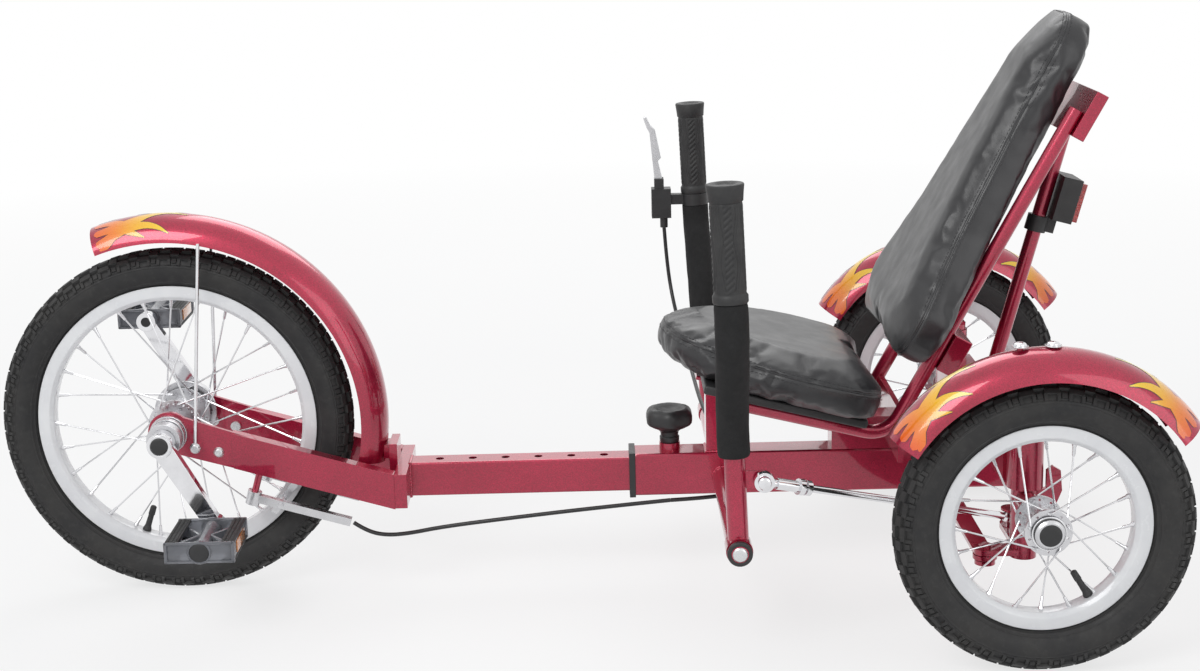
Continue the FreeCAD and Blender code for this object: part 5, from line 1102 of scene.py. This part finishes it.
def settle(item):
    """Make what the modifiers give the piece's own mesh, and drop them."""
    bpy.context.view_layer.update()
    graph = bpy.context.evaluated_depsgraph_get()
    mesh = bpy.data.meshes.new_from_object(item.evaluated_get(graph))
    item.modifiers.clear()
    item.data = mesh


def cross_line(mesh, origin, normal):
    """The loop in which a plane cuts a mesh, as evenly spaced points."""
    made = bmesh.new()
    made.from_mesh(mesh)
    cut = bmesh.ops.bisect_plane(made, geom=made.verts[:] + made.edges[:] + made.faces[:],
                                 plane_co=origin, plane_no=normal, dist=1e-6)
    edges = [e for e in cut["geom_cut"] if isinstance(e, bmesh.types.BMEdge)]
    joined = {}
    for edge in edges:
        a, b = edge.verts
        joined.setdefault(a, []).append(b)
        joined.setdefault(b, []).append(a)
    best = []
    seen = set()
    for first in joined:
        if first in seen:
            continue
        line, here = [first], first
        seen.add(first)
        while True:
            following = [v for v in joined[here] if v not in seen]
            if not following:
                break
            here = following[0]
            seen.add(here)
            line.append(here)
        if len(line) > len(best):
            best = line
    points = [v.co.copy() for v in best]
    made.free()
    return points


def even(points, spacing, smoothing=6):
    """Points resampled at one spacing round a closed loop, and smoothed."""
    for _ in range(smoothing):
        points = [(points[i - 1] + points[i] * 2 + points[(i + 1) % len(points)]) / 4
                  for i in range(len(points))]
    lengths = [0.0]
    for index in range(len(points)):
        lengths.append(lengths[-1] + (points[(index + 1) % len(points)] - points[index]).length)
    count = max(8, int(lengths[-1] / spacing))
    made, index = [], 0
    for step in range(count):
        goal = lengths[-1] * step / count
        while lengths[index + 1] < goal:
            index += 1
        part = (goal - lengths[index]) / max(lengths[index + 1] - lengths[index], 1e-9)
        made.append(points[index].lerp(points[(index + 1) % len(points)], part))
    return made


def sew(item, name, origin, axes, seam, body, node):
    """Round the top edge, press a seam into the side and add its stitches."""
    top = axes[2]
    divide = item.modifiers.new("divide", "SUBSURF")
    divide.levels = divide.render_levels = 1
    settle(item)
    mesh = item.data
    made = bmesh.new()
    made.from_mesh(mesh)
    for shift in (-0.0026, -0.0012, 0.0, 0.0012, 0.0026):
        bmesh.ops.bisect_plane(made, geom=made.verts[:] + made.edges[:] + made.faces[:],
                               plane_co=origin + top * (seam + shift), plane_no=top, dist=1e-5)
    bmesh.ops.recalc_face_normals(made, faces=made.faces)
    made.normal_update()
    base = origin.dot(top)
    moves = []
    for vert in made.verts:
        height = vert.co.dot(top) - base
        out = vert.normal - top * vert.normal.dot(top)
        press = 0.0016 * math.exp(-((height - seam) / 0.0013) ** 2)
        swell = 0.0006 * noise.noise(vert.co * 21.0) + 0.0003 * noise.noise(vert.co * 60.0)
        side_on = max(0.0, 1.0 - abs(vert.normal.dot(top)) * 1.5)
        moves.append(out * -press * side_on + vert.normal * swell)
    for vert, move in zip(made.verts, moves):
        vert.co += move
    made.to_mesh(mesh)
    made.free()
    mesh.materials.clear()
    mesh.materials.append(VINYL)
    mesh.polygons.foreach_set("use_smooth", [True] * len(mesh.polygons))
    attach(item, body)
    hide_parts(node)
    stitches = Shape()
    for shift in (-0.0042, 0.0042):
        line = cross_line(mesh, origin + top * (seam + shift), top)
        if len(line) < 12:
            continue
        line = even(line, 0.0050)
        middle = sum(line, Vector()) / len(line)
        for index, point in enumerate(line):
            after = line[(index + 1) % len(line)]
            way = after - point
            out = way.cross(top).normalized()
            if out.dot(point - middle) < 0:
                out = -out
            a, b = point + out * 0.0001, point + way * 0.66 + out * 0.0001
            tube(stitches, [a - out * 0.0006, a + way * 0.08 + out * 0.0003,
                            b - way * 0.08 + out * 0.0003, b - out * 0.0006], 0.00034, 6)
    stitches.piece(name + "_stitches", body, [THREAD], weld=0)
    welt = Shape()
    line = even(cross_line(mesh, origin + top * seam, top), 0.0060)
    tube(welt, line + [line[0], line[1]], 0.0010, 8, caps=False)
    welt.piece(name + "_welt", body, [VINYL], weld=0)


seat = inflate("seat_cushion", "seat_pad", SEAT_ORIGIN, SEAT_AXES, 0.0046, 0.0045, 0.010)
sew(seat, "seat_pad", SEAT_ORIGIN, SEAT_AXES, 0.0345, "frame", "seat_cushion")
back = inflate("back_cushion", "back_pad", BACK_ORIGIN, BACK_AXES, 0.0050, 0.0045, 0.010)
sew(back, "back_pad", BACK_ORIGIN, BACK_AXES, 0.0365, "frame", "back_cushion")


# Floor, light and background

def seen_directly(tree):
    """One for rays that show the surface, and nought for those that light the object."""
    path = add_node(tree, "ShaderNodeLightPath")
    return math_at(tree, "MAXIMUM", path.outputs["Is Camera Ray"],
                   math_at(tree, "MAXIMUM", path.outputs["Is Glossy Ray"],
                           path.outputs["Is Transmission Ray"]))


def make_floor():
    mesh = bpy.data.meshes.new("floor")
    reach = 40.0
    mesh.from_pydata([(-reach, -reach, 0), (reach, -reach, 0), (reach, reach, 0),
                      (-reach, reach, 0)], [], [[0, 1, 2, 3]])
    floor = bpy.data.objects.new("floor", mesh)
    bpy.context.scene.collection.objects.link(floor)
    material = bpy.data.materials.new("pale_floor")
    material.use_nodes = True
    tree = material.node_tree
    tree.nodes.clear()
    place = add_node(tree, "ShaderNodeTexCoord").outputs["Object"]
    tint = mix_colours(tree, noise_at(tree, place, 2.0), (0.86, 0.86, 0.87), (0.90, 0.90, 0.90))
    matte = add_node(tree, "ShaderNodeBsdfDiffuse")
    tree.links.new(tint, matte.inputs["Color"])
    white = add_node(tree, "ShaderNodeEmission")
    white.inputs["Color"].default_value = (1, 1, 1, 1)
    shown = seen_directly(tree)
    spread = add_node(tree, "ShaderNodeVectorMath", operation="LENGTH")
    tree.links.new(place, spread.inputs[0])
    far = remap(tree, spread.outputs["Value"], 0.0, 1.0, 1.1, 3.4)
    share = math_at(tree, "MULTIPLY", shown, math_at(tree, "ADD", 0.72, math_at(
        tree, "MULTIPLY", far, 0.28)))
    both = add_node(tree, "ShaderNodeMixShader")
    tree.links.new(share, both.inputs[0])
    tree.links.new(matte.outputs[0], both.inputs[1])
    tree.links.new(white.outputs[0], both.inputs[2])
    out = add_node(tree, "ShaderNodeOutputMaterial")
    tree.links.new(both.outputs[0], out.inputs["Surface"])
    mesh.materials.append(material)


def make_world():
    world = bpy.data.worlds.new("studio")
    bpy.context.scene.world = world
    world.use_nodes = True
    tree = world.node_tree
    tree.nodes.clear()
    shown = seen_directly(tree)
    soft = add_node(tree, "ShaderNodeBackground")
    soft.inputs["Color"].default_value = (0.97, 0.98, 1.0, 1)
    soft.inputs["Strength"].default_value = 0.45
    bright = add_node(tree, "ShaderNodeBackground")
    bright.inputs["Color"].default_value = (1, 1, 1, 1)
    bright.inputs["Strength"].default_value = 1.0
    both = add_node(tree, "ShaderNodeMixShader")
    tree.links.new(shown, both.inputs[0])
    tree.links.new(soft.outputs[0], both.inputs[1])
    tree.links.new(bright.outputs[0], both.inputs[2])
    out = add_node(tree, "ShaderNodeOutputWorld")
    tree.links.new(both.outputs[0], out.inputs["Surface"])


def make_lights():
    for name, spot, goal, size, power in (
            ("key", (-1.3, -2.1, 2.5), (0.0, 0.0, 0.25), 1.6, 42.0),
            ("fill", (2.2, -2.4, 1.3), (0.1, 0.0, 0.25), 2.0, 14.0),
            ("back", (0.3, 2.2, 2.6), (0.0, 0.0, 0.3), 2.2, 34.0)):
        data = bpy.data.lights.new(name, "AREA")
        data.shape = "SQUARE"
        data.size = size
        data.energy = power
        lamp = bpy.data.objects.new(name, data)
        bpy.context.scene.collection.objects.link(lamp)
        lamp.location = spot
        lamp.rotation_mode = "QUATERNION"
        lamp.rotation_quaternion = (Vector(goal) - Vector(spot)).to_track_quat("-Z", "Y")


make_floor()
make_world()
make_lights()
bpy.context.scene.view_settings.view_transform = "Standard"
